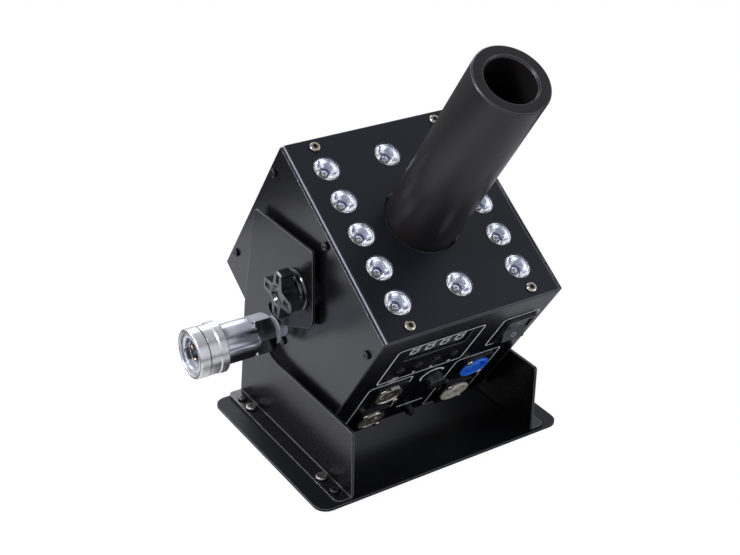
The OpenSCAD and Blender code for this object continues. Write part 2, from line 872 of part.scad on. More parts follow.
bulkhead_t = 5.5;
bracket_t = 2;
coil_half = 18;
module hex_nuts() {
    color("#c2a04c") on_head() {
        translate([0, 0, bridge_z - jet_nut_h]) nut(jet_nut_flats, jet_nut_h, jet_spigot + run_gap);
        translate([0, 0, spigot_foot - 7]) nut(15, 7, riser_r + run_gap);
        translate([0, 0, valve_top]) nut(15, 7, riser_r + run_gap);
        on_inlet() translate([0, 0, inner_x - bracket_t - bulkhead_t])
            nut(17, bulkhead_t, nipple_r + run_gap);
        translate([0, valve_half_d + coil_len, -inlet_drop]) rotate([-90, 0, 0])
            nut(13, 4.5, core_tube_r + run_gap);
    }
}

// The solenoid valve

core_tube_r = 5;
module valve_body() {
    color("#b8923f") on_head() difference() {
        union() {
            intersection() {
                translate([-valve_half_w, -valve_half_d, valve_floor])
                    cube([2 * valve_half_w, 2 * valve_half_d, valve_h]);
                translate([0, 0, valve_floor - over]) rotate([0, 0, 22.5])
                    cylinder(h = valve_h + 2 * over, r = valve_half_w * 1.16, $fn = 8);
            }
            translate([0, valve_half_d - over, -inlet_drop]) rotate([-90, 0, 0])
                cylinder(h = coil_len + over + 6, r = core_tube_r);
        }
        on_inlet() translate([0, 0, valve_half_w - 10])
            cylinder(h = 10 + over, r = nipple_r + run_gap);
        on_inlet() cylinder(h = valve_half_w, r = 4);
        translate([0, 0, riser_foot]) cylinder(h = valve_top - riser_foot + over, r = riser_r + run_gap);
        translate([0, 0, -inlet_drop]) cylinder(h = valve_h, r = 3.5);
    }
}

module valve_coil() {
    color("#1a1b1d") on_head() difference() {
        union() {
            translate([0, valve_half_d + coil_len, -inlet_drop]) rotate([90, 0, 0])
                linear_extrude(coil_len) polygon(slab(2 * coil_half - 2, 2 * coil_half, 5));
            translate([-8, valve_half_d + 6, coil_half - inlet_drop - 1]) cube([16, 20, 11]);
        }
        translate([0, valve_half_d - over, -inlet_drop]) rotate([-90, 0, 0])
            cylinder(h = coil_len + 2 * over, r = core_tube_r + 0.1);
    }
}

module valve_bracket() {
    shelf_y = valve_half_d - 1;
    color("#8d9094") on_head() difference() {
        union() {
            translate([-inner_x, -shelf_y, valve_floor - bracket_t])
                cube([bracket_t, 2 * shelf_y, valve_h + bracket_t]);
            translate([-inner_x, -shelf_y, valve_floor - bracket_t])
                cube([inner_x + valve_half_w, 2 * shelf_y, bracket_t]);
        }
        on_inlet() translate([0, 0, inner_x - bracket_t - over])
            cylinder(h = bracket_t + 2 * over, r = nipple_r + 0.4);
        for (s = [-1, 1]) on_side(-1, s * bracket_screw_y, bracket_screw_z)
            translate([0, 0, -sheet - bracket_t - over])
                cylinder(h = bracket_t + 2 * over, r = cover_screw_r + run_gap);
    }
}

// The gas inlet

nipple_seat = 10;
nipple_bore = 4;
collar_from = arm_out + 0.5;
module inlet_nipple() {
    color("#d5d8dc") on_head() on_inlet() rotate_extrude() polygon([
        [nipple_bore, valve_half_w - nipple_seat + 0.5],
        [nipple_r, valve_half_w - nipple_seat + 0.5],
        [nipple_r, collar_from],
        [collar_out_r - 0.7, collar_from],
        [collar_out_r, collar_from + 0.7],
        [collar_out_r, hex_at - 0.7],
        [collar_out_r - 0.7, hex_at],
        [nipple_r, hex_at],
        [nipple_r, hex_at + nipple_seat - 0.5],
        [nipple_bore, hex_at + nipple_seat - 0.5]
    ]);
}

// The coupler's fixed body: a hexagon, a bare barrel and the core that the sleeve slides on
module coupler_body() {
    color("#cfd4da") on_head() on_inlet() difference() {
        union() {
            intersection() {
                translate([0, 0, hex_at]) rotate([0, 0, 15]) hexagon(hex_flats, hex_len);
                rotate_extrude() polygon([
                    [0, hex_at],
                    [hex_flats / 2, hex_at],
                    [hex_flats / sqrt(3), hex_at + 1.2],
                    [hex_flats / sqrt(3), barrel_at - 1.2],
                    [hex_flats / 2, barrel_at],
                    [0, barrel_at]
                ]);
            }
            rotate_extrude($fn = 96) polygon([
                [0, barrel_at - over],
                [barrel_r - 1.5, barrel_at - over],
                [barrel_r - 1.5, barrel_at + 1.5],
                [barrel_r - 0.5, barrel_at + 1.5],
                [barrel_r, barrel_at + 2],
                [barrel_r, sleeve_at - 0.5],
                [barrel_r - 0.5, sleeve_at],
                [core_r, sleeve_at],
                [core_r, ring_at],
                [core_r - 0.9, ring_at],
                [core_r - 0.9, ring_at + 1.6],
                [core_r, ring_at + 1.6],
                [core_r, core_end - 0.6],
                [core_r - 0.6, core_end],
                [0, core_end]
            ]);
        }
        translate([0, 0, hex_at - over]) cylinder(h = nipple_seat + over, r = nipple_r + run_gap);
        translate([0, 0, hex_at]) cylinder(h = seat_at - hex_at, r = 4);
        translate([0, 0, seat_at - 22]) cylinder(h = 22 + over, r = poppet_r + run_gap);
        rotate_extrude() polygon([
            [0, seat_at],
            [mouth_r, seat_at],
            [mouth_r, lead_at],
            [lead_r, lead_at],
            [lead_r, core_end - 0.7],
            [lead_r + 0.7, core_end],
            [lead_r + 0.7, core_end + over],
            [0, core_end + over]
        ]);
        translate([0, 0, seal_at]) rotate_extrude()
            translate([mouth_r - 0.2, -seal_r]) square([seal_r + 0.9, 2 * seal_r]);
        for (i = [0:ball_count - 1]) rotate([0, 0, i * 360 / ball_count])
            translate([mouth_r - over, 0, ball_at]) rotate([0, 90, 0])
                cylinder(h = core_r, r = ball_r + run_gap);
    }
}

seal_r = 0.9;
seal_at = seat_at + 3.5;
poppet_r = 8;

module coupler_seal() {
    color("#101112") on_head() on_inlet() translate([0, 0, seal_at]) rotate_extrude()
        translate([mouth_r - 0.2, 0]) circle(r = seal_r - 0.05, $fn = 24);
}

module locking_balls() {
    color("#dfe3e8") on_head() on_inlet() for (i = [0:ball_count - 1])
        rotate([0, 0, i * 360 / ball_count]) translate([ball_centre, 0, ball_at]) sphere(r = ball_r);
}

module retaining_ring() {
    color("#55585c") on_head() on_inlet() translate([0, 0, ring_at + 0.1]) difference() {
        cylinder(h = 1.4, r = release_r - 0.2);
        translate([0, 0, -over]) cylinder(h = 4, r = core_r - 0.85);
        translate([-1.5, -2 * core_r, -over]) cube([3, 2 * core_r, 4]);
    }
}

// The sleeve that is pulled back to free the hose: a flange, a groove and a flat locking pocket
pocket_w = 12;
pocket_floor = 16.9;
module coupler_sleeve() {
    front = sleeve_end - 8.4;
    color("#c7ccd3") on_head() on_inlet() difference() {
        rotate_extrude($fn = 96) polygon([
            [barrel_r + 0.3, sleeve_at],
            [sleeve_r + 0.2, sleeve_at],
            [sleeve_r + 0.7, sleeve_at + 0.6],
            [sleeve_r + 0.7, sleeve_at + 6],
            [sleeve_r, sleeve_at + 6.8],
            [sleeve_r, front - 0.5],
            [sleeve_r - 0.9, front - 0.2],
            [sleeve_r - 0.9, front + 0.2],
            [sleeve_r + 0.3, front + 0.6],
            [sleeve_r + 0.3, sleeve_end - 0.8],
            [sleeve_r - 0.5, sleeve_end],
            [release_r + 0.4, sleeve_end],
            [release_r, sleeve_end - 0.5],
            [release_r, ring_at - 0.1],
            [land_r, ring_at - 0.1],
            [land_r, ball_at - ball_r - 0.4],
            [core_r + run_gap, ball_at - ball_r - 0.4],
            [core_r + run_gap, sleeve_at + 6.5],
            [barrel_r + 0.3, sleeve_at + 6.5]
        ]);
        translate([-pocket_w / 2, -sleeve_r - 3, sleeve_at + 7])
            cube([pocket_w, sleeve_r + 3 - pocket_floor, front - sleeve_at - 7.4]);
    }
}

module coupler_poppet() {
    color("#8b8f94") on_head() on_inlet() rotate_extrude() polygon([
        [0, seat_at - 16],
        [poppet_r, seat_at - 16],
        [poppet_r, seat_at - 0.5],
        [poppet_r - 2, seat_at + 2],
        [poppet_r - 2, seat_at + 3],
        [poppet_r - 2.5, seat_at + 3.5],
        [0, seat_at + 3.5]
    ]);
}

// The lamps

post_screw_r = 1.5;
lamp_board_half = [half_w - 9, half_d - return_w];
module lamp_board() {
    color("#e8eaec") on_head() difference() {
        translate([0, 0, board_z]) linear_extrude(board_t)
            polygon(slab(2 * lamp_board_half[0], 2 * lamp_board_half[1], 4));
        translate([0, 0, board_z - over]) cylinder(h = board_t + 2 * over, r = collar_r);
        for (x = [-post_xy, post_xy], y = [-post_xy, post_xy]) translate([x, y, board_z - over])
            cylinder(h = board_t + 2 * over, r = post_screw_r + 0.1);
    }
}

module board_posts() {
    color("#a4a8ad") on_head() for (x = [-post_xy, post_xy], y = [-post_xy, post_xy])
        translate([x, y, 0]) {
            translate([0, 0, tube_foot]) hexagon(7, board_z - tube_foot);
            translate([0, 0, board_top]) hexagon(7, shell_top - board_top);
            translate([0, 0, bridge_z - 2]) cylinder(h = shell_top - bridge_z, r = post_screw_r);
        }
}

module lamp_emitters() {
    color("#f4f0c8") on_head() for (p = lamps) translate([p[0], p[1], board_top]) {
        cylinder(h = 0.8, r = 2.6);
        translate([0, 0, 0.8]) cylinder(h = 1, r = 1.7);
    }
}

module lens_holders() {
    seat = lens_top - lens_rim_h;
    color("#151618") on_head() for (p = lamps) translate([p[0], p[1], 0]) rotate_extrude() polygon([
        [lens_foot_r + 0.6, board_top],
        [holder_r, board_top],
        [holder_r, seat - 0.4],
        [lens_r + 0.15, seat - 0.4],
        [lens_r - 0.1, seat - 1],
        [lens_foot_r + 0.6, board_top + 3]
    ]);
}

// Each lens is a cone of clear plastic with a curved flank and a domed well over its emitter
lens_well_r = 2.3;
lens_well_h = 4.4;
lens_crown = 0.35;
module lenses() {
    seat = lens_top - lens_rim_h;
    foot = board_top + 3.2;
    neck_r = lens_r - 0.5;
    flank = [
        for (t = [0:0.125:1])
        [
            sqrt(pow(lens_foot_r, 2) * (1 - t) + pow(neck_r, 2) * t),
            foot + (seat - 0.6 - foot) * t
        ]
    ];
    well = [
        for (a = [90:-22.5:0])
        [lens_well_r * cos(a), foot + lens_well_h - lens_well_r * (1 - sin(a)) * 0.6]
    ];
    crown = [
        for (t = [0:0.2:1])
        [(lens_r - 0.5) * (1 - t), lens_top - lens_crown * pow(1 - t, 2)]
    ];
    color([0.85, 0.9, 1, 0.7]) on_head() for (p = lamps) translate([p[0], p[1], 0])
        rotate_extrude() polygon(concat(
            well,
            [[lens_well_r, foot]],
            flank,
            [[lens_r, seat], [lens_r, lens_top - lens_crown - 0.3]],
            crown
        ));
}

// The control panel's electronics

board_face = -10.4;
display_face = -2;
digit_step = display_w / 4;
digit_h = 14;
digit_w = 7.4;
digit_rise = 1.4;
bar = 1.5;

// One straight bar of a digit, pointed at both ends
module digit_bar(length) {
    polygon([
        [-length / 2, 0],
        [-length / 2 + bar / 2, bar / 2],
        [length / 2 - bar / 2, bar / 2],
        [length / 2, 0],
        [length / 2 - bar / 2, -bar / 2],
        [-length / 2 + bar / 2, -bar / 2]
    ]);
}

module display_module() {
    color("#0c0c0e") on_head() on_panel(display_x, display_z) translate([0, 0, board_face])
        linear_extrude(display_face - board_face)
            polygon(slab(display_w, display_h + window_slack - 0.4, 0.6));
}

module display_segments() {
    color("#d9dbd6") on_head() on_panel(display_x, display_z + digit_rise)
        translate([0, 0, display_face])
        linear_extrude(0.2) for (i = [-1.5:1.5]) translate([i * digit_step, 0]) {
            for (y = [-1, 0, 1]) translate([0, y * (digit_h - bar) / 2])
                digit_bar(digit_w - bar - 0.5);
            for (x = [-1, 1], y = [-1, 1])
                translate([x * (digit_w - bar) / 2, y * (digit_h - bar) / 4]) rotate([0, 0, 90])
                    digit_bar((digit_h - bar) / 2 - 0.5);
        }
}

control_box = [display_x - display_w / 2 - 11, display_x + display_w / 2 + 9, -14, 40];
module control_board() {
    color("#1e5a34") on_head() difference() {
        on_panel(0, 0) translate([control_box[0], control_box[2], board_face - board_t])
            cube([control_box[1] - control_box[0], control_box[3] - control_box[2], board_t]);
        for (p = board_posts_xy) on_panel(p[0], p[1]) translate([0, 0, board_face - board_t - over])
            cylinder(h = board_t + 2 * over, r = 1.3);
    }
}

key_h = 3.5;
key_stem_r = 1.7;
module button_switches() {
    color("#2a2b2e") on_head() for (x = button_x) on_panel(x, button_z)
        translate([0, 0, board_face]) difference() {
            translate([-3, -3, 0]) cube([6, 6, key_h]);
            translate([0, 0, key_h - 2.3]) cylinder(h = 2.3 + over, r = key_stem_r + run_gap);
        }
}

module menu_button(i) {
    color("#0f1012") on_head() on_panel(button_x[i], button_z) {
        rotate_extrude($fn = 48) polygon([
            [0, board_face + key_h - 1],
            [key_stem_r, board_face + key_h - 1],
            [key_stem_r, -sheet - 1.3],
            [button_r + 0.9, -sheet - 1.3],
            [button_r + 0.9, -sheet - 0.3],
            [button_r, -sheet - 0.3],
            [button_r, 0.8],
            [button_r - 0.4, 1.1],
            [0, 1.2]
        ]);
    }
}
module menu_button_1() { menu_button(0); }
module menu_button_2() { menu_button(1); }
module menu_button_3() { menu_button(2); }
module menu_button_4() { menu_button(3); }

// The connectors

flange_t = 1.8;
latch_w = 7;
latch_h = 3;
latch_y = socket_r + 1.7 + latch_h / 2;

// The slot above the upper signal socket, open to the socket, with room round the latch
module latch_slot(room) {
    translate([-latch_w / 2 - room, socket_r])
        square([latch_w + 2 * room, latch_y + latch_h / 2 + room - socket_r]);
}

module connector_flanges() {
    color("#101113") on_head() for (c = connector_spots) on_panel(c[0], c[1]) difference() {
        linear_extrude(flange_t) polygon(slab(flange_plate_w, flange_plate_h, 3));
        translate([0, 0, -over]) cylinder(
            h = flange_t + 2 * over,
            r = c[0] == signal_x ? socket_r + 1.45 : power_r + 0.05
        );
        for (s = [-1, 1])
            translate([-s * connector_screw[0], s * connector_screw[1], -over])
                cylinder(h = flange_t + 2 * over, r = cover_screw_r + screw_gap);
        if (c[0] == signal_x && c[1] == upper_z)
            translate([0, 0, -over]) linear_extrude(flange_t + 2 * over) latch_slot(0.15);
    }
}

module connector_screws() {
    color("#c9ccd0") on_head() for (c = connector_spots, s = [-1, 1])
        on_panel(c[0] - s * connector_screw[0], c[1] + s * connector_screw[1])
            translate([0, 0, flange_t]) screw(cover_screw_r, 2.7, 1.6, flange_t + sheet + 2.5);
}

shell_depth = 20;
module socket_shells() {
    color("#c4c8cc") on_head() for (z = [upper_z, lower_z]) on_panel(signal_x, z)
        rotate_extrude() polygon([
            [socket_r, -shell_depth],
            [socket_r + 1.4, -shell_depth],
            [socket_r + 1.4, flange_t + 0.8],
            [socket_r + 1.2, flange_t + 1],
            [socket_r + 0.4, flange_t + 1],
            [socket_r, flange_t + 0.6]
        ]);
}

pin_angles = [30, 150, 270];
pin_circle = 4.6;
core_depth = 17;
pin_floor = 13;
module socket_inserts() {
    color("#0b0c0d") on_head() {
        on_panel(signal_x, upper_z) difference() {
            union() {
                translate([0, 0, -shell_depth])
                    cylinder(h = shell_depth - core_depth, r = socket_r - run_gap);
                translate([0, 0, -core_depth - over])
                    cylinder(h = core_depth + over + 0.8, r = socket_r - 2.8);
            }
            for (a = pin_angles) rotate([0, 0, a]) translate([pin_circle, 0, -10])
                cylinder(h = 12, r = 1.35);
        }
        on_panel(signal_x, lower_z) difference() {
            translate([0, 0, -shell_depth])
                cylinder(h = shell_depth - pin_floor, r = socket_r - run_gap);
            for (a = pin_angles) rotate([0, 0, a]) translate([pin_circle, 0, -pin_floor - 4])
                cylinder(h = 6, r = 1.2 + run_gap);
        }
    }
}

module socket_pins() {
    color("#d8c48a") on_head() on_panel(signal_x, lower_z) for (a = pin_angles)
        rotate([0, 0, a]) translate([pin_circle, 0, 0]) rotate_extrude() polygon([
            [0, -pin_floor - 4],
            [1.2, -pin_floor - 4],
            [1.2, -2.6],
            [0.7, -2],
            [0, -2]
        ]);
}

module socket_latch() {
    color("#b9bdc2") on_head() on_panel(signal_x, upper_z + latch_y) {
        translate([-latch_w / 2, -latch_h / 2, -8]) cube([latch_w, latch_h, 8 + flange_t + 1.8]);
        translate([-latch_w / 2 - 1.5, -latch_h / 2, -sheet - 1.8])
            cube([latch_w + 3, latch_h, 1.5]);
    }
}

// A round power connector with a ring-shaped recess that two ribs divide
module power_connector() {
    face = flange_t + 1.4;
    ring = power_r - 2.6;
    core = 5.6;
    floor_z = -10;
    difference() {
        rotate_extrude() polygon([
            [0, -22],
            [power_r - 2, -22],
            [power_r - 2, -16],
            [power_r, -16],
            [power_r, face - 0.6],
            [power_r - 0.6, face],
            [ring + 0.4, face],
            [ring, face - 0.4],
            [ring, floor_z],
            [core, floor_z],
            [core, face - 1],
            [core - 0.4, face - 0.6],
            [0, face - 0.6]
        ]);
        translate([-1.2, -core + 1, floor_z]) cube([2.4, 2 * core - 2, 20]);
    }
    for (turn = [0, 180]) rotate([0, 0, turn])
        translate([-1.3, core - 0.5, floor_z - over]) cube([2.6, ring - core + 1, 9]);
}
module power_inlet() { color("#1f6fd0") on_head() on_panel(power_x, upper_z) power_connector(); }
module power_outlet() { color("#ece7d6") on_head() on_panel(power_x, lower_z) power_connector(); }

// The fuse, the switch and the earth stud

fuse_body_r = 6;
fuse_depth = 32;
plug_r = 5;
cap_gap = 0.1;
module fuse_holder() {
    color("#131416") on_head() on_panel(fuse_x, fuse_z) rotate_extrude() polygon([
        [0, -fuse_depth],
        [fuse_body_r, -fuse_depth],
        [fuse_body_r, 0],
        [fuse_cap_r, 0],
        [fuse_cap_r, 1.5],
        [plug_r + run_gap, 1.5],
        [plug_r + run_gap, -9],
        [2.8, -9],
        [2.8, 2 - fuse_depth],
        [0, 2 - fuse_depth]
    ]);
}

module fuse() {
    color("#dfe3e6") on_head() on_panel(fuse_x, fuse_z) translate([0, 0, 2 - fuse_depth])
        cylinder(h = 21, r = 2.6);
}

module fuse_cap() {
    color("#18191b") on_head() on_panel(fuse_x, fuse_z) difference() {
        rotate_extrude() polygon([
            [0, -8.5],
            [plug_r, -8.5],
            [plug_r, 1.5 + cap_gap],
            [fuse_cap_r, 1.5 + cap_gap],
            [fuse_cap_r, 2.5],
            [fuse_cap_r - 0.7, 7],
            [fuse_cap_r - 1.5, 7.6],
            [0, 7.6]
        ]);
        translate([-fuse_cap_r, -0.8, 6.2]) cube([2 * fuse_cap_r, 1.6, 3]);
        for (a = [0:30:330]) rotate([0, 0, a]) translate([fuse_cap_r + 0.5, 0, 3])
            cylinder(h = 6, r = 1);
    }
}

rocker_pivot = -4;
rocker_room = 2.8;
rocker_r = switch_h / 2 - rocker_room - 0.4;
rocker_half = switch_w / 2 - rocker_room - 0.3;
module switch_bezel() {
    room = [2 * (rocker_half + 0.3), switch_h - 2 * rocker_room];
    color("#0e0f10") on_head() on_panel(switch_x, switch_z) difference() {
        union() {
            linear_extrude(1.2) polygon(slab(switch_w, switch_h, 2));
            linear_extrude(2.5) polygon(slab(switch_w - 1.6, switch_h - 1.6, 1.6));
            translate([-switch_cut[0] / 2, -switch_cut[1] / 2, -24])
                cube([switch_cut[0], switch_cut[1], 24 + over]);
        }
        translate([-room[0] / 2, -room[1] / 2, -19]) cube([room[0], room[1], 30]);
        translate([-rocker_half - 1.3, 0, rocker_pivot]) rotate([0, 90, 0])
            cylinder(h = 2 * rocker_half + 2.6, r = 1.5 + run_gap);
    }
}

// The rocker rests with its upper half pressed in
module switch_rocker() {
    rise = tan(switch_swing / 2);
    color("#1a1b1e") on_head() on_panel(switch_x, switch_z)
        translate([0, 0, rocker_pivot]) rotate([-switch_swing / 2, 0, 0]) {
            intersection() {
                translate([-rocker_half, 0, 0]) rotate([0, 90, 0])
                    cylinder(h = 2 * rocker_half, r = rocker_r);
                translate([-rocker_half, 0, 0]) rotate([90, 0, 90])
                    linear_extrude(2 * rocker_half) polygon([
                        [-rocker_r - 2, -7],
                        [rocker_r + 2, -7],
                        [rocker_r + 2, 5.5 + (rocker_r + 2) * rise],
                        [0, 5.5],
                        [-rocker_r - 2, 5.5 + (rocker_r + 2) * rise]
                    ]);
            }
            translate([-rocker_half - 1.2, 0, 0]) rotate([0, 90, 0])
                cylinder(h = 2 * rocker_half + 2.4, r = 1.5);
        }
}

ground_r = 2;
module ground_stud() {
    color("#3a3c40") on_head() on_panel(ground_x, ground_z) {
        translate([0, 0, -7]) cylinder(h = 13, r = ground_r);
        cylinder(h = 1, r = 4.4);
        translate([0, 0, 1]) nut(7, 2.8, ground_r - 0.1);
        translate([0, 0, -sheet - 3]) nut(7, 3, ground_r - 0.1);
    }
}

module power_supply() {
    rim = 1.2;
    x0 = half_w - cover_screw_len - 1 - supply_w;
    y0 = -50;
    z0 = sheet - head_below;
    color("#b9bcc0") on_head() difference() {
        translate([x0, y0, z0]) cube([supply_w, supply_len, supply_h]);
        translate([x0 + rim, y0 - over, z0 + 18]) cube([supply_w - 2 * rim, 12 + over, supply_h]);
        for (i = [0:11], j = [0:3])
            translate([x0 + 8 + j * 9, y0 + 24 + i * 7, z0 + supply_h - 1])
                cylinder(h = 3, r = 1.5, $fn = 24);
    }
}

base_plate();
rubber_feet();
stand_screws();
arm_left();
arm_right();
flange_bolts();
wrap_shell();
side_cover_left();
side_cover_right();
side_cover_screws();
lamp_plate();
lamp_plate_screws();
pivot_washers();
pivot_nuts();
tilt_knob_left();
tilt_knob_right();
nozzle_tube();
nozzle_bridge();
jet();
riser_pipe();
hex_nuts();
valve_body();
valve_coil();
valve_bracket();
inlet_nipple();
coupler_body();
coupler_sleeve();
retaining_ring();
locking_balls();
coupler_poppet();
coupler_seal();
lamp_board();
lamp_emitters();
lens_holders();
lenses();
board_posts();
display_module();
display_segments();
control_board();
button_switches();
menu_button_1();
menu_button_2();
menu_button_3();
menu_button_4();
connector_flanges();
connector_screws();
socket_shells();
socket_inserts();
socket_pins();
socket_latch();
power_inlet();
power_outlet();
fuse_holder();
fuse_cap();
fuse();
switch_bezel();
switch_rocker();
ground_stud();
power_supply();
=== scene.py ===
# %% [markdown]
# # A gas-jet machine for the stage
#
# The machine is a black sheet-metal box that tilts between two arms. It blows a column of cold
# gas through a thick nozzle, and a ring of twelve lamps lights the column. The measured model
# already holds every plate, screw and lens at its real size, so this lesson is about finish:
# powder coat, chrome, moulded plastic, brass and clear lenses, and the thin printing on the panel.

# %% Load the measured model
import json
import math

import bmesh
import bpy
from mathutils import Matrix, Vector


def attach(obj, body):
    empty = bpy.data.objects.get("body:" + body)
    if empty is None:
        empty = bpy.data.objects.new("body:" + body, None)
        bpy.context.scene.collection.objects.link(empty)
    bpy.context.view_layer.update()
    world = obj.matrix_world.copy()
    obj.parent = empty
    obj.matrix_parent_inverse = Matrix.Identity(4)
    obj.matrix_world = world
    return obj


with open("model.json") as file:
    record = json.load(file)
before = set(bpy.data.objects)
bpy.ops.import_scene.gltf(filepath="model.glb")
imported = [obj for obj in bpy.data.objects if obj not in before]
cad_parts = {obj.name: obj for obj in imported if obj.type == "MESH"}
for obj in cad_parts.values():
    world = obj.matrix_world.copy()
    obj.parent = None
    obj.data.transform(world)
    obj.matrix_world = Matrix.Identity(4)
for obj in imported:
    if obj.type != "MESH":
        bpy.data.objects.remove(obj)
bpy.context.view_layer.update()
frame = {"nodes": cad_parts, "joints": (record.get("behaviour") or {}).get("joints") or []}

# %% [markdown]
# ## The camera
#
# The picture was taken from the front left, looking down. The lens and its shift come from
# straight edges of the object: a shifted lens keeps the verticals as the picture shows them,
# where a tilted and cropped camera would lean them.

# %% Place the camera
# The place is in metres, the turn in degrees, and the shift in widths of the picture.
EYE = (-0.51729, -0.76387, 0.62262)
TURN = (64.474, -1.425, -33.637)
SHIFT = (-0.03389, -0.09522)
SENSOR_MM = 36
LENS_MM = 68.958

camera_data = bpy.data.cameras.new("camera")
camera_data.sensor_width = SENSOR_MM
camera_data.lens = LENS_MM
camera_data.shift_x = SHIFT[0]
camera_data.shift_y = SHIFT[1]
camera = bpy.data.objects.new("camera", camera_data)
camera.location = EYE
camera.rotation_euler = [math.radians(angle) for angle in TURN]
bpy.context.scene.collection.objects.link(camera)
bpy.context.scene.camera = camera
bpy.context.scene.view_settings.view_transform = "Standard"
print("Lens in mm:", camera_data.lens)

# %% [markdown]
# ## Sums on sockets
#
# A procedural finish is a sum over noise and masks. Typed as nodes it is long, so one small class
# wraps an output and lets Python's own signs build the Math nodes. Another holds a tree of nodes,
# of a material or of the world, and makes every other node through a single method.


# %% A socket that takes sums
class Wire:
    """An output socket on which sums can be written."""

    def __init__(self, board, socket):
        self.board = board
        self.socket = socket

    def __add__(self, other):
        return self.board.sum("ADD", self, other)

    def __sub__(self, other):
        return self.board.sum("SUBTRACT", self, other)

    def __rsub__(self, other):
        return self.board.sum("SUBTRACT", other, self)

    def __mul__(self, other):
        return self.board.sum("MULTIPLY", self, other)


# %% A tree of nodes
class Board:
    """A tree with a single method for every node in it."""

    def __init__(self, tree):
        self.tree = tree

    def node(self, kind, settings=None, inputs=None, output=0):
        """Makes a node with its settings and inputs, and returns one of its outputs, or none."""
        made = self.tree.nodes.new("ShaderNode" + kind)
        for name, value in (settings or {}).items():
            if name == "stops":
                self.set_stops(made.color_ramp, value)
            else:
                setattr(made, name, value)
        for name, value in (inputs or {}).items():
            self.put(made.inputs[name], value)
        return Wire(self, made.outputs[output]) if output is not None else None

    def set_stops(self, ramp, stops):
        """Gives a ramp its grey stops. New ones start halfway, and then each is put in place."""
        while len(ramp.elements) < len(stops):
            ramp.elements.new(0.5)
        for element, (place, level) in zip(ramp.elements, stops):
            element.position = place
            element.color = (level, level, level, 1)

    def put(self, socket, value):
        if isinstance(value, Wire):
            self.tree.links.new(value.socket, socket)
        else:
            socket.default_value = value

    def sum(self, operation, left, right):
        return self.node("Math", {"operation": operation}, {0: left, 1: right})

    def dot(self, left, right):
        """How much two directions agree, or how far a place is along a direction."""
        inputs = {0: left, 1: right}
        return self.node("VectorMath", {"operation": "DOT_PRODUCT"}, inputs, output="Value")

    def mix(self, mask, low, high):
        """A mix of two colours. Its sockets go by number, as several of them share a name."""
        return self.node("Mix", {"data_type": "RGBA"}, {0: mask, 6: low, 7: high}, output=2)


class Paint(Board):
    """A material's tree, with its shader at hand."""

    def __init__(self, name):
        self.material = bpy.data.materials.new(name)
        self.material.use_nodes = True
        super().__init__(self.material.node_tree)
        self.shader = self.tree.nodes["Principled BSDF"]

    def set(self, name, value):
        self.put(self.shader.inputs[name], value)


def tone(code):
    """A colour written as on a paint chart, turned into Blender's linear values."""
    parts = [int(code[i:i + 2], 16) / 255 for i in (1, 3, 5)]
    return tuple(p / 12.92 if p < 0.04045 else ((p + 0.055) / 1.055) ** 2.4 for p in parts) + (1,)


print("Mid grey in linear values:", round(tone("#808080")[0], 3))

# %% [markdown]
# ## Light, floor and backdrop
#
# Black paint and chrome show only what they reflect. A real studio gives them pale walls, a
# dimmer ceiling and a dark room past the white table, and without the dark parts both look
# milky. So gloss sees those levels, while the camera and the lenses see a white page. The light
# that falls on the object is the same from everywhere and stays low.

# %% The world
WHITE = (1, 1, 1, 1)
WORLD_LEVEL = 0.4
ROOM_TINT = (0.88, 0.9, 1, 1)
# From straight down, at 0, over the horizon, at 0.5, to straight up, at 1.
ROOM_LEVELS = [
    (0, 0.06),
    (0.44, 0.1),
    (0.5, 0.9),
    (0.68, 1),
    (0.8, 0.85),
    (0.88, 0.5),
    (0.95, 0.42),
]


def build_world():
    """White to the camera and glass, the room's levels to gloss, and a low light to the rest."""
    world = bpy.data.worlds.new("studio")
    world.use_nodes = True
    world.node_tree.nodes.clear()
    sky = Board(world.node_tree)
    rays = ("Is Camera Ray", "Is Glossy Ray", "Is Transmission Ray")
    camera_ray, gloss_ray, glass_ray = [sky.node("LightPath", output=ray) for ray in rays]
    way = sky.node("TexCoord", output="Generated")
    rise = sky.node("SeparateXYZ", None, {0: way}, output="Z") * 0.5 + 0.5
    room = sky.node("ValToRGB", {"stops": ROOM_LEVELS}, {0: rise})
    page = sky.sum("MAXIMUM", camera_ray, glass_ray)
    plain = (1 - sky.sum("MAXIMUM", page, gloss_ray)) * WORLD_LEVEL
    strength = page + (1 - page) * gloss_ray * room + plain
    tint = sky.mix(page, ROOM_TINT, WHITE)
    light = sky.node("Background", None, {"Color": tint, "Strength": strength})
    sky.node("OutputWorld", None, {"Surface": light}, output=None)
    bpy.context.scene.world = world


build_world()
print("The world is lit at", WORLD_LEVEL)

# %% The floor
FLOOR_REACH = 0.36
FLOOR_WHITE = 0.93
FLOOR_GLOW = 1.05


def build_floor():
    """A pale table that looks white to the camera, with a trace of the object's shadow."""
    paint = Paint("floor_paper")
    paint.set("Base Color", tone("#efeff0"))
    paint.set("Roughness", 0.9)
    shown = paint.node("LightPath", output="Is Camera Ray") * FLOOR_WHITE
    glow = paint.node("Emission", None, {"Color": WHITE, "Strength": FLOOR_GLOW})
    lit = Wire(paint, paint.shader.outputs[0])
    blend = paint.node("MixShader", None, {0: shown, 1: lit, 2: glow})
    paint.put(paint.tree.nodes["Material Output"].inputs["Surface"], blend)
    mesh = bpy.data.meshes.new("floor")
    corners = [(-1, -1), (1, -1), (1, 1), (-1, 1)]
    points = [(x * FLOOR_REACH, y * FLOOR_REACH, 0) for x, y in corners]
    mesh.from_pydata(points, [], [(0, 1, 2, 3)])
    mesh.materials.append(paint.material)
    floor = bpy.data.objects.new("floor", mesh)
    bpy.context.scene.collection.objects.link(floor)


build_floor()
print("The floor reaches", FLOOR_REACH, "m to each side")

# %% The soft lamps
AIM = Vector((0, 0, 0.14))
LAMP_TINT = (0.95, 0.96, 1)
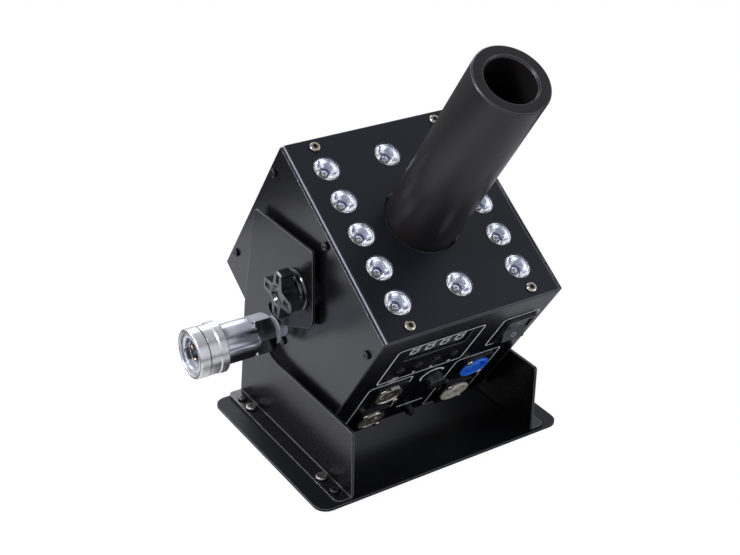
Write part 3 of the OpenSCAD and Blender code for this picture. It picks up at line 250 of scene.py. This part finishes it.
# Each lamp's place and size in metres, and its power in watts.
LAMPS = {
    "high_left": ((-1.6, -0.1, 1.45), 0.6, 26),
    "low_right": ((1.5, -1.5, 0.7), 1.0, 8),
    "behind": ((0.4, 1.9, 1.3), 1.2, 14),
    "back_left": ((-1.5, 1.1, 0.5), 0.8, 13),
}


def soft_lamp(name, place, size, power):
    """A square lamp that is aimed at the object."""
    data = bpy.data.lights.new(name, "AREA")
    data.shape = "SQUARE"
    data.size = size
    data.energy = power
    data.color = LAMP_TINT
    lamp = bpy.data.objects.new(name, data)
    lamp.location = place
    lamp.rotation_euler = (AIM - Vector(place)).to_track_quat("-Z", "Y").to_euler()
    bpy.context.scene.collection.objects.link(lamp)


for lamp_name, (place, size, power) in LAMPS.items():
    soft_lamp(lamp_name, place, size, power)
print("Lamps:", ", ".join(LAMPS))

# %% [markdown]
# ## Powder coat
#
# The plates are steel, sprayed with black powder and baked. Close up the coat has a fine skin
# like orange peel. A Bevel node rounds the light on each sharp edge, and the difference between
# that rounded normal and the true one marks the edge itself. There, and over the folds, the coat
# is painted lighter, a painted highlight where a rounded edge would catch the light. A modelled
# bevel on each plate would round the light the same way, with many more faces.

# %% The coat's recipe
# Sizes and depths are in metres. An edge is marked in full where the rounded and the true normal
# agree by no more than EDGE_BEND. A fold's stops go by how far its normal leans to the side. A
# mean is what the two noises add to a roughness on average.
EDGE_RADIUS = 0.0008
EDGE_SAMPLES = 4
EDGE_BEND = 0.8
FOLD_STOPS = [(0.42, 0), (0.58, 1), (0.8, 1), (0.9, 0)]
COAT_PATCH = 0.07
COAT_SHADE = 0.82
# The painted highlight on edges and folds: its share and its colour.
COAT_HIGHLIGHT_SHARE = 0.8
COAT_HIGHLIGHT = "#9a9bab"
COAT_SWINGS = (0.08, 0.05)
COAT_MEAN = 0.07
COAT_BUMP = 0.18
SKIN_DEPTH = 0.00006
FINISHES = {}


def rounded_edges(paint, radius=EDGE_RADIUS):
    """The rounded normal, and a mask that is 1 on the edges and 0 on the faces."""
    soft = paint.node("Bevel", {"samples": EDGE_SAMPLES}, {"Radius": radius})
    same = paint.dot(soft, paint.node("NewGeometry", output="Normal"))
    mask = paint.node("MapRange", None, {"Value": same, "From Min": 1, "From Max": EDGE_BEND})
    return soft, mask


def cloud(paint, size, detail=2, seed=0):
    """Noise with patches of a given size in metres, in the object's own space."""
    place = paint.node("TexCoord", output="Object")
    shifted = paint.node("VectorMath", {"operation": "ADD"}, {0: place, 1: (seed, seed, seed)})
    return paint.node("TexNoise", None, {"Vector": shifted, "Scale": 1 / size, "Detail": detail})


def dents(paint, height, strength, depth, normal):
    """A bump from a height, laid over a normal."""
    inputs = {"Height": height, "Strength": strength, "Distance": depth, "Normal": normal}
    return paint.node("Bump", None, inputs)


def folded_edges(paint):
    """A mask that is 1 halfway round the folds that run from front to back."""
    normal = paint.node("NewGeometry", output="Normal")
    lean = paint.node("SeparateXYZ", None, {0: normal}, output="X")
    size = paint.node("Math", {"operation": "ABSOLUTE"}, {0: lean})
    return paint.node("ValToRGB", {"stops": FOLD_STOPS}, {0: size})


def powder_coat(name, colour, roughness, gloss, grain=0.0007, fold=0):
    """A sprayed coat with a painted highlight on its edges, and by a given share on its folds."""
    paint = Paint(name)
    soft, edges = rounded_edges(paint)
    patches = cloud(paint, COAT_PATCH, seed=3)
    skin = cloud(paint, grain, detail=1)
    dark = tuple(COAT_SHADE * level for level in tone(colour)[:3]) + (1,)
    body = paint.mix(patches, dark, tone(colour))
    # Edges, and by the given share the folds, are painted lighter: a painted highlight.
    smears_and_highlight = edges * COAT_HIGHLIGHT_SHARE
    if fold:
        smears_and_highlight = paint.sum("MAXIMUM", smears_and_highlight, folded_edges(paint) * fold)
    swing = patches * COAT_SWINGS[0] + skin * COAT_SWINGS[1]
    paint.set("Base Color", paint.mix(smears_and_highlight, body, tone(COAT_HIGHLIGHT)))
    paint.set("Roughness", swing + (roughness - COAT_MEAN))
    paint.set("Specular IOR Level", gloss)
    paint.set("Normal", dents(paint, skin, COAT_BUMP, SKIN_DEPTH, soft))
    return paint.material


def make_finishes(recipe, rows):
    """Makes a finish from each row, and keeps it under its name."""
    for name, row in rows.items():
        FINISHES[name] = recipe(name, **row)


COATS = {
    "black_plate": {"colour": "#0a0b0e", "roughness": 0.5, "gloss": 0.2},
    "black_arms": {"colour": "#0d0c0e", "roughness": 0.28, "gloss": 0.42},
    "shell_black": {"colour": "#0b0b0e", "roughness": 0.24, "gloss": 0.5},
    # The lamp plate also takes a painted highlight over its folds.
    "lamp_plate_black": {"colour": "#11141c", "roughness": 0.34, "gloss": 0.45, "fold": 0.6},
    "nozzle_black": {"colour": "#1f1c1c", "roughness": 0.33, "gloss": 0.42, "grain": 0.0005},
}
make_finishes(powder_coat, COATS)
print("Coats:", ", ".join(COATS))

# %% [markdown]
# ## Bare and plated metal
#
# Chrome, brass and zinc differ in colour and in how fine their scratches are. To the shader a
# metal's base colour is the colour of its reflection. A frosted skin scatters light as paint does,
# so there the finish is made less of a metal. The faces that look up are made less of a metal
# too, so that they catch the lamps, a painted highlight, and the same share adds smears all over.
# The edges are painted lighter, as a painted highlight. A noise stretched along one direction
# gives turned or brushed parts their fine lines, and a wide one gives handled parts their smears.

# %% The metals' recipe
# Sizes and depths are in metres.
FINE_EDGE = 0.0003
SMEAR_SIZE = 0.012
SCRATCH_SIZE = 0.0006
SCRATCH_DEPTH = 0.00004
SCRATCH_SWING = 0.06
SMEAR_SHARE = 0.3
# How much more smear comes with each share of the painted highlight on faces that look up.
SMEARS_WITH_SHEEN = 0.4
# The edges' painted highlight: its share and its colour.
METAL_HIGHLIGHT_SHARE = 0.4
METAL_HIGHLIGHT = "#f4f4f4"
FACING_BAND = 0.12
UPWARDS = (0, 0, 1)
LEFTWARDS = (-1, 0, 0)
# Where faces that look up start to take their painted highlight.
TOP_SHEEN_FROM = 0.72
RIM_FROM = 0.8


def streaks(paint, size, stretch):
    """Noise that is stretched along X, Y or Z by three factors."""
    place = paint.node("TexCoord", output="Object")
    drawn = paint.node("Mapping", None, {"Vector": place, "Scale": stretch})
    return paint.node("TexNoise", None, {"Vector": drawn, "Scale": 1 / size, "Detail": 3})


def facing(paint, way, least):
    """A mask that is 1 on faces that look one way at rest, in the object's own space, or else 0."""
    same = paint.dot(paint.node("TexCoord", output="Normal"), way)
    ends = {"From Min": least, "From Max": least + FACING_BAND}
    return paint.node("MapRange", None, {"Value": same, **ends})


def bare_metal(
    name,
    colour,
    roughness,
    smear=0.08,
    scratch=0.1,
    stretch=(1, 1, 1),
    dull="#6f6f74",
    haze=0,
    top_sheen_and_smears=0,
    rim=None,
):
    """Metal with smears, fine lines and painted highlights on edges and top faces. A rim is a
    colour for the faces that look to the left.
    """
    paint = Paint(name)
    soft, edges = rounded_edges(paint, FINE_EDGE)
    smears = cloud(paint, SMEAR_SIZE, seed=7)
    lines = streaks(paint, SCRATCH_SIZE, stretch)
    # Faces that look up are made less of a metal, so they catch the lamps: a painted highlight.
    paint.set("Metallic", 1 - haze - facing(paint, UPWARDS, TOP_SHEEN_FROM) * top_sheen_and_smears)
    smears_and_highlight = paint.mix(smears * (SMEAR_SHARE + top_sheen_and_smears * SMEARS_WITH_SHEEN), tone(colour), tone(dull))
    if rim:
        smears_and_highlight = paint.mix(facing(paint, LEFTWARDS, RIM_FROM), smears_and_highlight, tone(rim))
    # The edges are painted lighter, as a painted highlight.
    paint.set("Base Color", paint.mix(edges * METAL_HIGHLIGHT_SHARE, smears_and_highlight, tone(METAL_HIGHLIGHT)))
    paint.set("Roughness", smears * smear + lines * SCRATCH_SWING + roughness)
    paint.set("Normal", dents(paint, lines, scratch, SCRATCH_DEPTH, soft))
    return paint.material


# The chrome and the satin nickel get a painted highlight on their faces that look up.
METALS = {
    "chrome": {
        "colour": "#ecedf2",
        "roughness": 0.08,
        "smear": 0.12,
        "scratch": 0.05,
        "dull": "#4a5678",
        "top_sheen_and_smears": 0.75,
    },
    "satin_nickel": {
        "colour": "#efeeea",
        "roughness": 0.18,
        "smear": 0.1,
        "dull": "#9aa0ae",
        "haze": 0.1,
        "top_sheen_and_smears": 0.4,
        "rim": "#5e534a",
    },
    "frosted_nickel": {"colour": "#f0f1f8", "roughness": 0.3, "dull": "#c4c8d8", "haze": 0.65},
    "bolt_steel": {"colour": "#96918a", "roughness": 0.22},
    "warm_steel": {"colour": "#c8b096", "roughness": 0.12},
    "nickel_screw": {"colour": "#cfc8bc", "roughness": 0.16},
    "plated_steel": {"colour": "#b9bcc2", "roughness": 0.24, "stretch": (1, 0.1, 1)},
    "poppet_steel": {"colour": "#a9acb4", "roughness": 0.18},
    "brass": {"colour": "#c9a35a", "roughness": 0.22, "dull": "#7d6232"},
    "socket_nickel": {"colour": "#eee6d6", "roughness": 0.14, "haze": 0.1},
    "supply_aluminium": {"colour": "#c3c6ca", "roughness": 0.34, "stretch": (1, 0.05, 1)},
}
make_finishes(bare_metal, METALS)
print("Metals:", ", ".join(METALS))

# %% [markdown]
# ## Moulded plastic and rubber
#
# Moulded parts have one colour all through, a skin from the mould and soft edges, on which a
# painted highlight makes them lighter or gives them a rim colour. Handling leaves them a little
# shinier in places, so the same noise drives the roughness and a slight change of tone.

# %% The plastics' recipe
MOULD_EDGE = 0.0004
MOULD_PATCH = 0.01
MOULD_SHARE = 0.3
MOULD_LIGHTER = 1.35
MOULD_LIFT = 0.01
MOULD_SWINGS = (0.12, 0.04)
MOULD_MEAN = 0.08


def moulded(name, colour, roughness, skin_size=0.0009, bump=0.1, gloss=0.5, edge=0.2, rim=None):
    """Plastic or rubber. Its edges take a painted highlight, lighter or in the rim's colour, by a
    given share.
    """
    paint = Paint(name)
    soft, edges = rounded_edges(paint, MOULD_EDGE)
    patches = cloud(paint, MOULD_PATCH, seed=5)
    skin = cloud(paint, skin_size, detail=1)
    base = tone(colour)
    light = tuple(min(1, MOULD_LIGHTER * level + MOULD_LIFT) for level in base[:3]) + (1,)
    body = paint.mix(patches * MOULD_SHARE, base, light)
    swing = patches * MOULD_SWINGS[0] + skin * MOULD_SWINGS[1]
    paint.set("Base Color", paint.mix(edges * edge, body, tone(rim) if rim else light))
    paint.set("Roughness", swing + (roughness - MOULD_MEAN))
    paint.set("Specular IOR Level", gloss)
    paint.set("Normal", dents(paint, skin, bump, SKIN_DEPTH, soft))
    return paint.material


PLASTICS = {
    "foot_rubber": {"colour": "#3c3c3f", "roughness": 0.7, "bump": 0.3, "gloss": 0.3},
    # The washer's and the knob's edges take a strong painted highlight in a pale rim colour.
    "washer_black": {"colour": "#0f1012", "roughness": 0.22, "edge": 0.6, "rim": "#8c8e9a"},
    "knob_plastic": {
        "colour": "#0b0c0e",
        "roughness": 0.12,
        "gloss": 1,
        "edge": 0.8,
        "rim": "#a4a6b2",
    },
    "coil_plastic": {"colour": "#17181a", "roughness": 0.4},
    "button_black": {"colour": "#0d0e10", "roughness": 0.3},
    "flange_black": {"colour": "#0e0f11", "roughness": 0.28},
    "black_screw": {"colour": "#141416", "roughness": 0.25, "bump": 0.05},
    "inlet_blue": {"colour": "#2f78f4", "roughness": 0.22, "bump": 0.05},
    "outlet_ivory": {"colour": "#faf5e0", "roughness": 0.28, "bump": 0.05},
    "board_green": {"colour": "#1f5d36", "roughness": 0.3, "skin_size": 0.002},
    "lamp_board_white": {"colour": "#e2e4e6", "roughness": 0.45},
    "segment_pale": {"colour": "#d4d6d0", "roughness": 0.3, "bump": 0.02},
    "emitter_yellow": {"colour": "#d8cf6a", "roughness": 0.35, "bump": 0.02},
}
make_finishes(moulded, PLASTICS)
print("Plastics:", ", ".join(PLASTICS))

# %% [markdown]
# ## Clear lenses and the fuse's glass
#
# Each lamp has a clear cone of acrylic that throws the light forwards. Its flank acts as a
# mirror, so from outside it looks bright with dark bends in it. Refraction gives part of that by
# itself, as long as the cup behind the cone is pale. The cup's own finish, further down, paints
# in the rest, as painted reflections and a painted glow.

# %% The clear finishes
RIPPLE_SIZE = 0.004
RIPPLE_SWING = 0.03


def clear(name, colour, bend, roughness):
    """Clear plastic or glass, with faint ripples in its colour and its roughness."""
    paint = Paint(name)
    ripples = cloud(paint, RIPPLE_SIZE, seed=2)
    paint.set("Base Color", paint.mix(ripples, tone(colour), WHITE))
    paint.set("Roughness", ripples * RIPPLE_SWING + roughness)
    paint.set("IOR", bend)
    paint.set("Transmission Weight", 1)
    return paint.material


CLEAR = {
    "lens_clear": {"colour": "#eef2ff", "bend": 1.49, "roughness": 0.09},
    "fuse_glass": {"colour": "#f4f6f8", "bend": 1.46, "roughness": 0.02},
}
make_finishes(clear, CLEAR)
print("Finishes in all:", len(FINISHES))

# %% [markdown]
# ## Dressing the measured nodes
#
# Every slot of a measured node names a material, and the finish of that name takes its place. A
# few nodes look different from the rest of their metal, so they get a finish of their own.

# %% Dress the measured nodes
OWN_FINISHES = {
    "coupler_sleeve": FINISHES["satin_nickel"],
    "inlet_nipple": FINISHES["frosted_nickel"],
    "locking_balls": FINISHES["warm_steel"],
    "flange_bolts": FINISHES["bolt_steel"],
}


def dress(node, finish=None):
    """Gives a measured node one finish, or else each of its slots the finish of that name."""
    for place in frame["nodes"][node].material_slots:
        slot = place.material.name.split(".")[0]
        place.link = "OBJECT"
        place.material = finish or FINISHES[slot]


for node in frame["nodes"]:
    dress(node, OWN_FINISHES.get(node))
print("Dressed nodes:", len(frame["nodes"]))

# %% [markdown]
# ## Places on the tilted head
#
# The head leans forwards on its pivots, so what is printed on it is laid out flat, in the head's
# own millimetres, and then carried over by one matrix. The panel's place is read from the
# measured shell, so the print stays on the sheet when the box changes.

# %% The head's and the panel's own spaces
MM = 0.001
TILT = math.radians(34)
HEAD_BODY = "head"

pivot = next(joint for joint in frame["joints"] if joint["name"] == "head_tilt")["pos_m"]
head_space = Matrix.Translation(pivot) @ Matrix.Rotation(TILT, 4, "X")


def local_box(node):
    """A node's lowest and highest corners in the head's own space, in millimetres."""
    back = head_space.inverted()
    points = [back @ vertex.co / MM for vertex in frame["nodes"][node].data.vertices]
    low = Vector([min(point[k] for point in points) for k in range(3)])
    high = Vector([max(point[k] for point in points) for k in range(3)])
    return low, high


panel_face = local_box("wrap_shell")[0].y
upright = Matrix.Rotation(math.pi / 2, 4, "X")
panel_space = head_space @ Matrix.Translation((0, panel_face * MM, 0)) @ upright
print("Panel face in front of the pivot, in mm:", round(-panel_face, 2))

# %% [markdown]
# ## Two finishes with painted shade and light
#
# A socket screw looks like a bright ring round a dark hole, because little light comes back out
# of the hole, so the hole is painted dark as shade. The cup behind a lens is a bright reflector
# whose foot is painted dark as shade. Both take a mask from the height over the lamp plate, which
# is a distance along the nozzle's direction. The cup also gets two dark bends, painted
# reflections on the faces that look two ways, and a faint glow, painted light in place of the
# light that a real reflector gathers.

# %% The screws' dark sockets and the lamps' bright cups
# Heights are in millimetres: all dark below the first, all bright above the second.
SOCKET_FLOOR = 60.38
SOCKET_SHADE = (SOCKET_FLOOR + 0.3, SOCKET_FLOOR + 0.8)
SOCKET_DARK = "#0d0c0c"
CUP_FOOT = (48.6, 49.4)
# The strength of the cup's painted glow.
CUP_GLOW = 0.95
# The colour of the foot's painted shade and of the bends' painted reflections.
CUP_DARK = "#182246"
BEND_WAYS = [(-0.8, -0.5, 0.33), (0.5, 0.8, 0.33)]
BEND_FROM = 0.64
BEND_SHADE = 0.85


def patchy(paint, size, share, bright, dull):
    """A bright colour with patches of a duller one."""
    return paint.mix(cloud(paint, size) * share, tone(bright), tone(dull))


def height_mask(paint, dark_below, light_above):
    """A mask that is 1 below one height on the tilted head, in millimetres, and 0 above another."""
    place = paint.node("TexCoord", output="Object")
    up = head_space.to_3x3() @ Vector((0, 0, 1))
    rise = paint.dot(place, up)
    ground = up.dot(Vector(pivot))
    ends = {"From Min": ground + light_above * MM, "From Max": ground + dark_below * MM}
    return paint.node("MapRange", None, {"Value": rise, **ends})


def socket_screw():
    """A bright screw whose hole is painted dark as shade."""
    paint = Paint("socket_screw")
    soft, edges = rounded_edges(paint, FINE_EDGE)
    hole = height_mask(paint, *SOCKET_SHADE)
    bright = patchy(paint, size=0.004, share=0.4, bright="#cfc5b4", dull="#8d857a")
    paint.set("Base Color", paint.mix(hole, bright, tone(SOCKET_DARK)))
    paint.set("Metallic", 1 - hole)
    paint.set("Roughness", hole * 0.3 + edges * 0.1 + 0.24)
    paint.set("Normal", soft)
    return paint.material


def lamp_cup():
    """A bright cup with a painted glow, a foot painted dark as shade and two bends painted dark as
    reflections.
    """
    paint = Paint("lamp_cup")
    soft, edges = rounded_edges(paint, FINE_EDGE)
    foot = height_mask(paint, *CUP_FOOT)
    bright = patchy(paint, size=0.003, share=0.3, bright="#f6f8fd", dull="#d4dcf2")
    bends = paint.sum("MAXIMUM", *[facing(paint, way, BEND_FROM) for way in BEND_WAYS])
    shade = paint.mix(paint.sum("MAXIMUM", foot, bends * BEND_SHADE), bright, tone(CUP_DARK))
    paint.set("Base Color", shade)
    paint.set("Roughness", edges * 0.1 + 0.3)
    paint.set("Emission Color", shade)
    paint.set("Emission Strength", CUP_GLOW)
    paint.set("Normal", soft)
    return paint.material


dress("lamp_plate_screws", socket_screw())
dress("lens_holders", lamp_cup())
print("Cups glow at", CUP_GLOW)

# %% [markdown]
# ## The printing on the panel
#
# Thin pale lines group the display, the sockets and the switch. Screen ink stands a few
# hundredths of a millimetre proud, so each line is a low ribbon that follows a path, mitred at
# its corners. A painted texture would blur at this size and could not be exported as a shape.


# %% Make a piece and give it to a body
def add_piece(name, mesh, finish, body=HEAD_BODY):
    """Turns a bmesh into a named piece with a finish, riding on a body."""
    data = bpy.data.meshes.new(name)
    mesh.to_mesh(data)
    mesh.free()
    data.materials.append(finish)
    piece = bpy.data.objects.new(name, data)
    bpy.context.scene.collection.objects.link(piece)
    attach(piece, body)


# %% Paths on the panel, in millimetres
INK_HEIGHT = 0.05
INK_WIDTH = 0.9
ARC_STEPS = 6
# A mitre is divided by no less than this, so that a sharp bend grows no spike.
MITRE_LEAST = 0.4


def arc_path(centre, radius, start, end, steps):
    """Points along an arc, with its angles in degrees."""
    angles = [math.radians(start + (end - start) * k / steps) for k in range(steps + 1)]
    return [(centre[0] + radius * math.cos(a), centre[1] + radius * math.sin(a)) for a in angles]


def box_path(left, low, right, high, radius):
    """The outline of a box with round corners."""
    path = []
    corners = [(right, high, 0), (left, high, 90), (left, low, 180), (right, low, 270)]
    for x, y, start in corners:
        across = -radius if x == right else radius
        up = -radius if y == high else radius
        path += arc_path((x + across, y + up), radius, start, start + 90, ARC_STEPS)
    return path


def raised(mesh, space, point, height):
    """A new corner at a height over a point of the sheet, in millimetres."""
    return mesh.verts.new(space @ (Vector((*point, height)) * MM))


def ribbon(mesh, space, path, width, closed=False):
    """A low band of even width along a path, mitred at the bends."""
    count = len(path)
    points = [Vector(point) for point in path]
    rings = []
    for i, here in enumerate(points):
        before = points[i - 1] if closed or i > 0 else here
        after = points[(i + 1) % count] if closed or i < count - 1 else here
        way_in = (here - before).normalized() if here != before else (after - here).normalized()
        way_out = (after - here).normalized() if after != here else way_in
        side = Vector((-way_in.y - way_out.y, way_in.x + way_out.x)).normalized()
        reach = width / 2 / max(MITRE_LEAST, side.dot(Vector((-way_in.y, way_in.x))))
        left, right = here + side * reach, here - side * reach
        corners = [(left, 0), (left, INK_HEIGHT), (right, INK_HEIGHT), (right, 0)]
        rings.append([raised(mesh, space, point, height) for point, height in corners])
    pairs = [(i, (i + 1) % count) for i in range(count if closed else count - 1)]
    for a, b in pairs:
        for k in range(4):
            m = (k + 1) % 4
            mesh.faces.new([rings[a][k], rings[a][m], rings[b][m], rings[b][k]])
    if not closed:
        mesh.faces.new(rings[0])
        mesh.faces.new(rings[-1][::-1])
    bmesh.ops.recalc_face_normals(mesh, faces=mesh.faces)


def patch(mesh, space, outline):
    """A flat filled mark, from corners that run anticlockwise."""
    heights = (0, INK_HEIGHT)
    rows = [[raised(mesh, space, point, height) for point in outline] for height in heights]
    count = len(outline)
    mesh.faces.new(rows[1])
    mesh.faces.new(rows[0][::-1])
    for i in range(count):
        j = (i + 1) % count
        mesh.faces.new([rows[0][i], rows[0][j], rows[1][j], rows[1][i]])


# %% Print the lines and marks
DISPLAY_BOX = (-53.2, -14, 19.5, 36.3)
SIGNAL_BOX = (-56, -93, -19, -19)
POWER_BOX = (19, -93, 59, -19)
SWITCH_BOX = (38, -7, 70, 32)
BOX_RADIUS = 3.2
FUSE_ARC = ((1.4, -30.2), 9.3, 25, 215)
FUSE_ARC_STEPS = 28
FUSE_ARC_WIDTH = 1.8
EARTH_BAR = ((-11.6, -76), (11.9, -76))
EARTH_BAR_WIDTH = 1.6
MARK_DROP = 11.5
MARK_SCALE = 1.5
MARK_SHAPES = [
    [(-1.6, -0.35), (1.6, -0.35), (1.6, 0.35), (-1.6, 0.35)],
    [(-1, 0.8), (0, -0.9), (1, 0.8)],
    [(-1, -0.8), (1, -0.8), (0, 0.9)],
    [(-0.7, -0.7), (0.7, -0.7), (0.7, 0.7), (-0.7, 0.7)],
]

# The ink's edges take a faint painted highlight.
ink = moulded("panel_ink", "#e2e6ee", 0.5, bump=0.02, edge=0.05)


def print_panel():
    """The frame lines, the scale round the fuse holder and the bar over the earth stud."""
    mesh = bmesh.new()
    for outline in (DISPLAY_BOX, SIGNAL_BOX, POWER_BOX, SWITCH_BOX):
        ribbon(mesh, panel_space, box_path(*outline, BOX_RADIUS), INK_WIDTH, closed=True)
    ribbon(mesh, panel_space, arc_path(*FUSE_ARC, FUSE_ARC_STEPS), FUSE_ARC_WIDTH)
    ribbon(mesh, panel_space, EARTH_BAR, EARTH_BAR_WIDTH)
    add_piece("panel_lines", mesh, ink)


def print_marks():
    """Plain marks under the menu buttons: a bar, two arrow heads and a square."""
    mesh = bmesh.new()
    for number, shape in enumerate(MARK_SHAPES, 1):
        low, high = local_box(f"menu_button_{number}")
        x = (low.x + high.x) / 2
        y = (low.z + high.z) / 2 - MARK_DROP
        patch(mesh, panel_space, [(x + a * MARK_SCALE, y + b * MARK_SCALE) for a, b in shape])
    add_piece("button_marks", mesh, ink)


print_panel()
print_marks()
print("Printed the panel")

# %% [markdown]
# ## Marks on the rocker
#
# A rocker switch carries a bar and a ring, moulded or printed, one on each half. They ride on
# the rocker, so they tip over with it. Each half leans away from the middle, so each mark gets a
# space of its own on that slope.

# %% The rocker's bar and ring
ROCKER_SLOPE = math.radians(11)
# How far the rocker's axis is above the head's pivot, and out from the panel's face.
ROCKER_AXIS = (13, -4)
ROCKER_CREST = 5.5
ROCKER_MARK_AT = 6.5
BAR_HALF = 2
BAR_WIDTH = 1
RING_RADIUS = 1.8
RING_WIDTH = 0.8
RING_POINTS = 24

# The faint ink's edges take a faint painted highlight.
faint_ink = moulded("faint_ink", "#9a9da4", 0.5, bump=0.02, edge=0.05)


def mark_rocker():
    """A bar on the rocker's upper half, and a ring on its lower half."""
    low, high = local_box("switch_rocker")
    hinge = Matrix.Translation(Vector(((low.x + high.x) / 2, *ROCKER_AXIS)) * MM)
    crest = Matrix.Translation((0, 0, ROCKER_CREST * MM))
    top = panel_space @ hinge @ Matrix.Rotation(-ROCKER_SLOPE, 4, "X") @ crest
    upper = top @ Matrix.Rotation(ROCKER_SLOPE, 4, "X")
    lower = top @ Matrix.Rotation(-ROCKER_SLOPE, 4, "X")
    mesh = bmesh.new()
    bar = [(0, ROCKER_MARK_AT - BAR_HALF), (0, ROCKER_MARK_AT + BAR_HALF)]
    ribbon(mesh, upper, bar, BAR_WIDTH)
    last = 360 - 360 / RING_POINTS
    ring = arc_path((0, -ROCKER_MARK_AT), RING_RADIUS, 0, last, RING_POINTS - 1)
    ribbon(mesh, lower, ring, RING_WIDTH, closed=True)
    add_piece("rocker_marks", mesh, faint_ink, body="switch_rocker")


mark_rocker()
print("Marked the rocker")
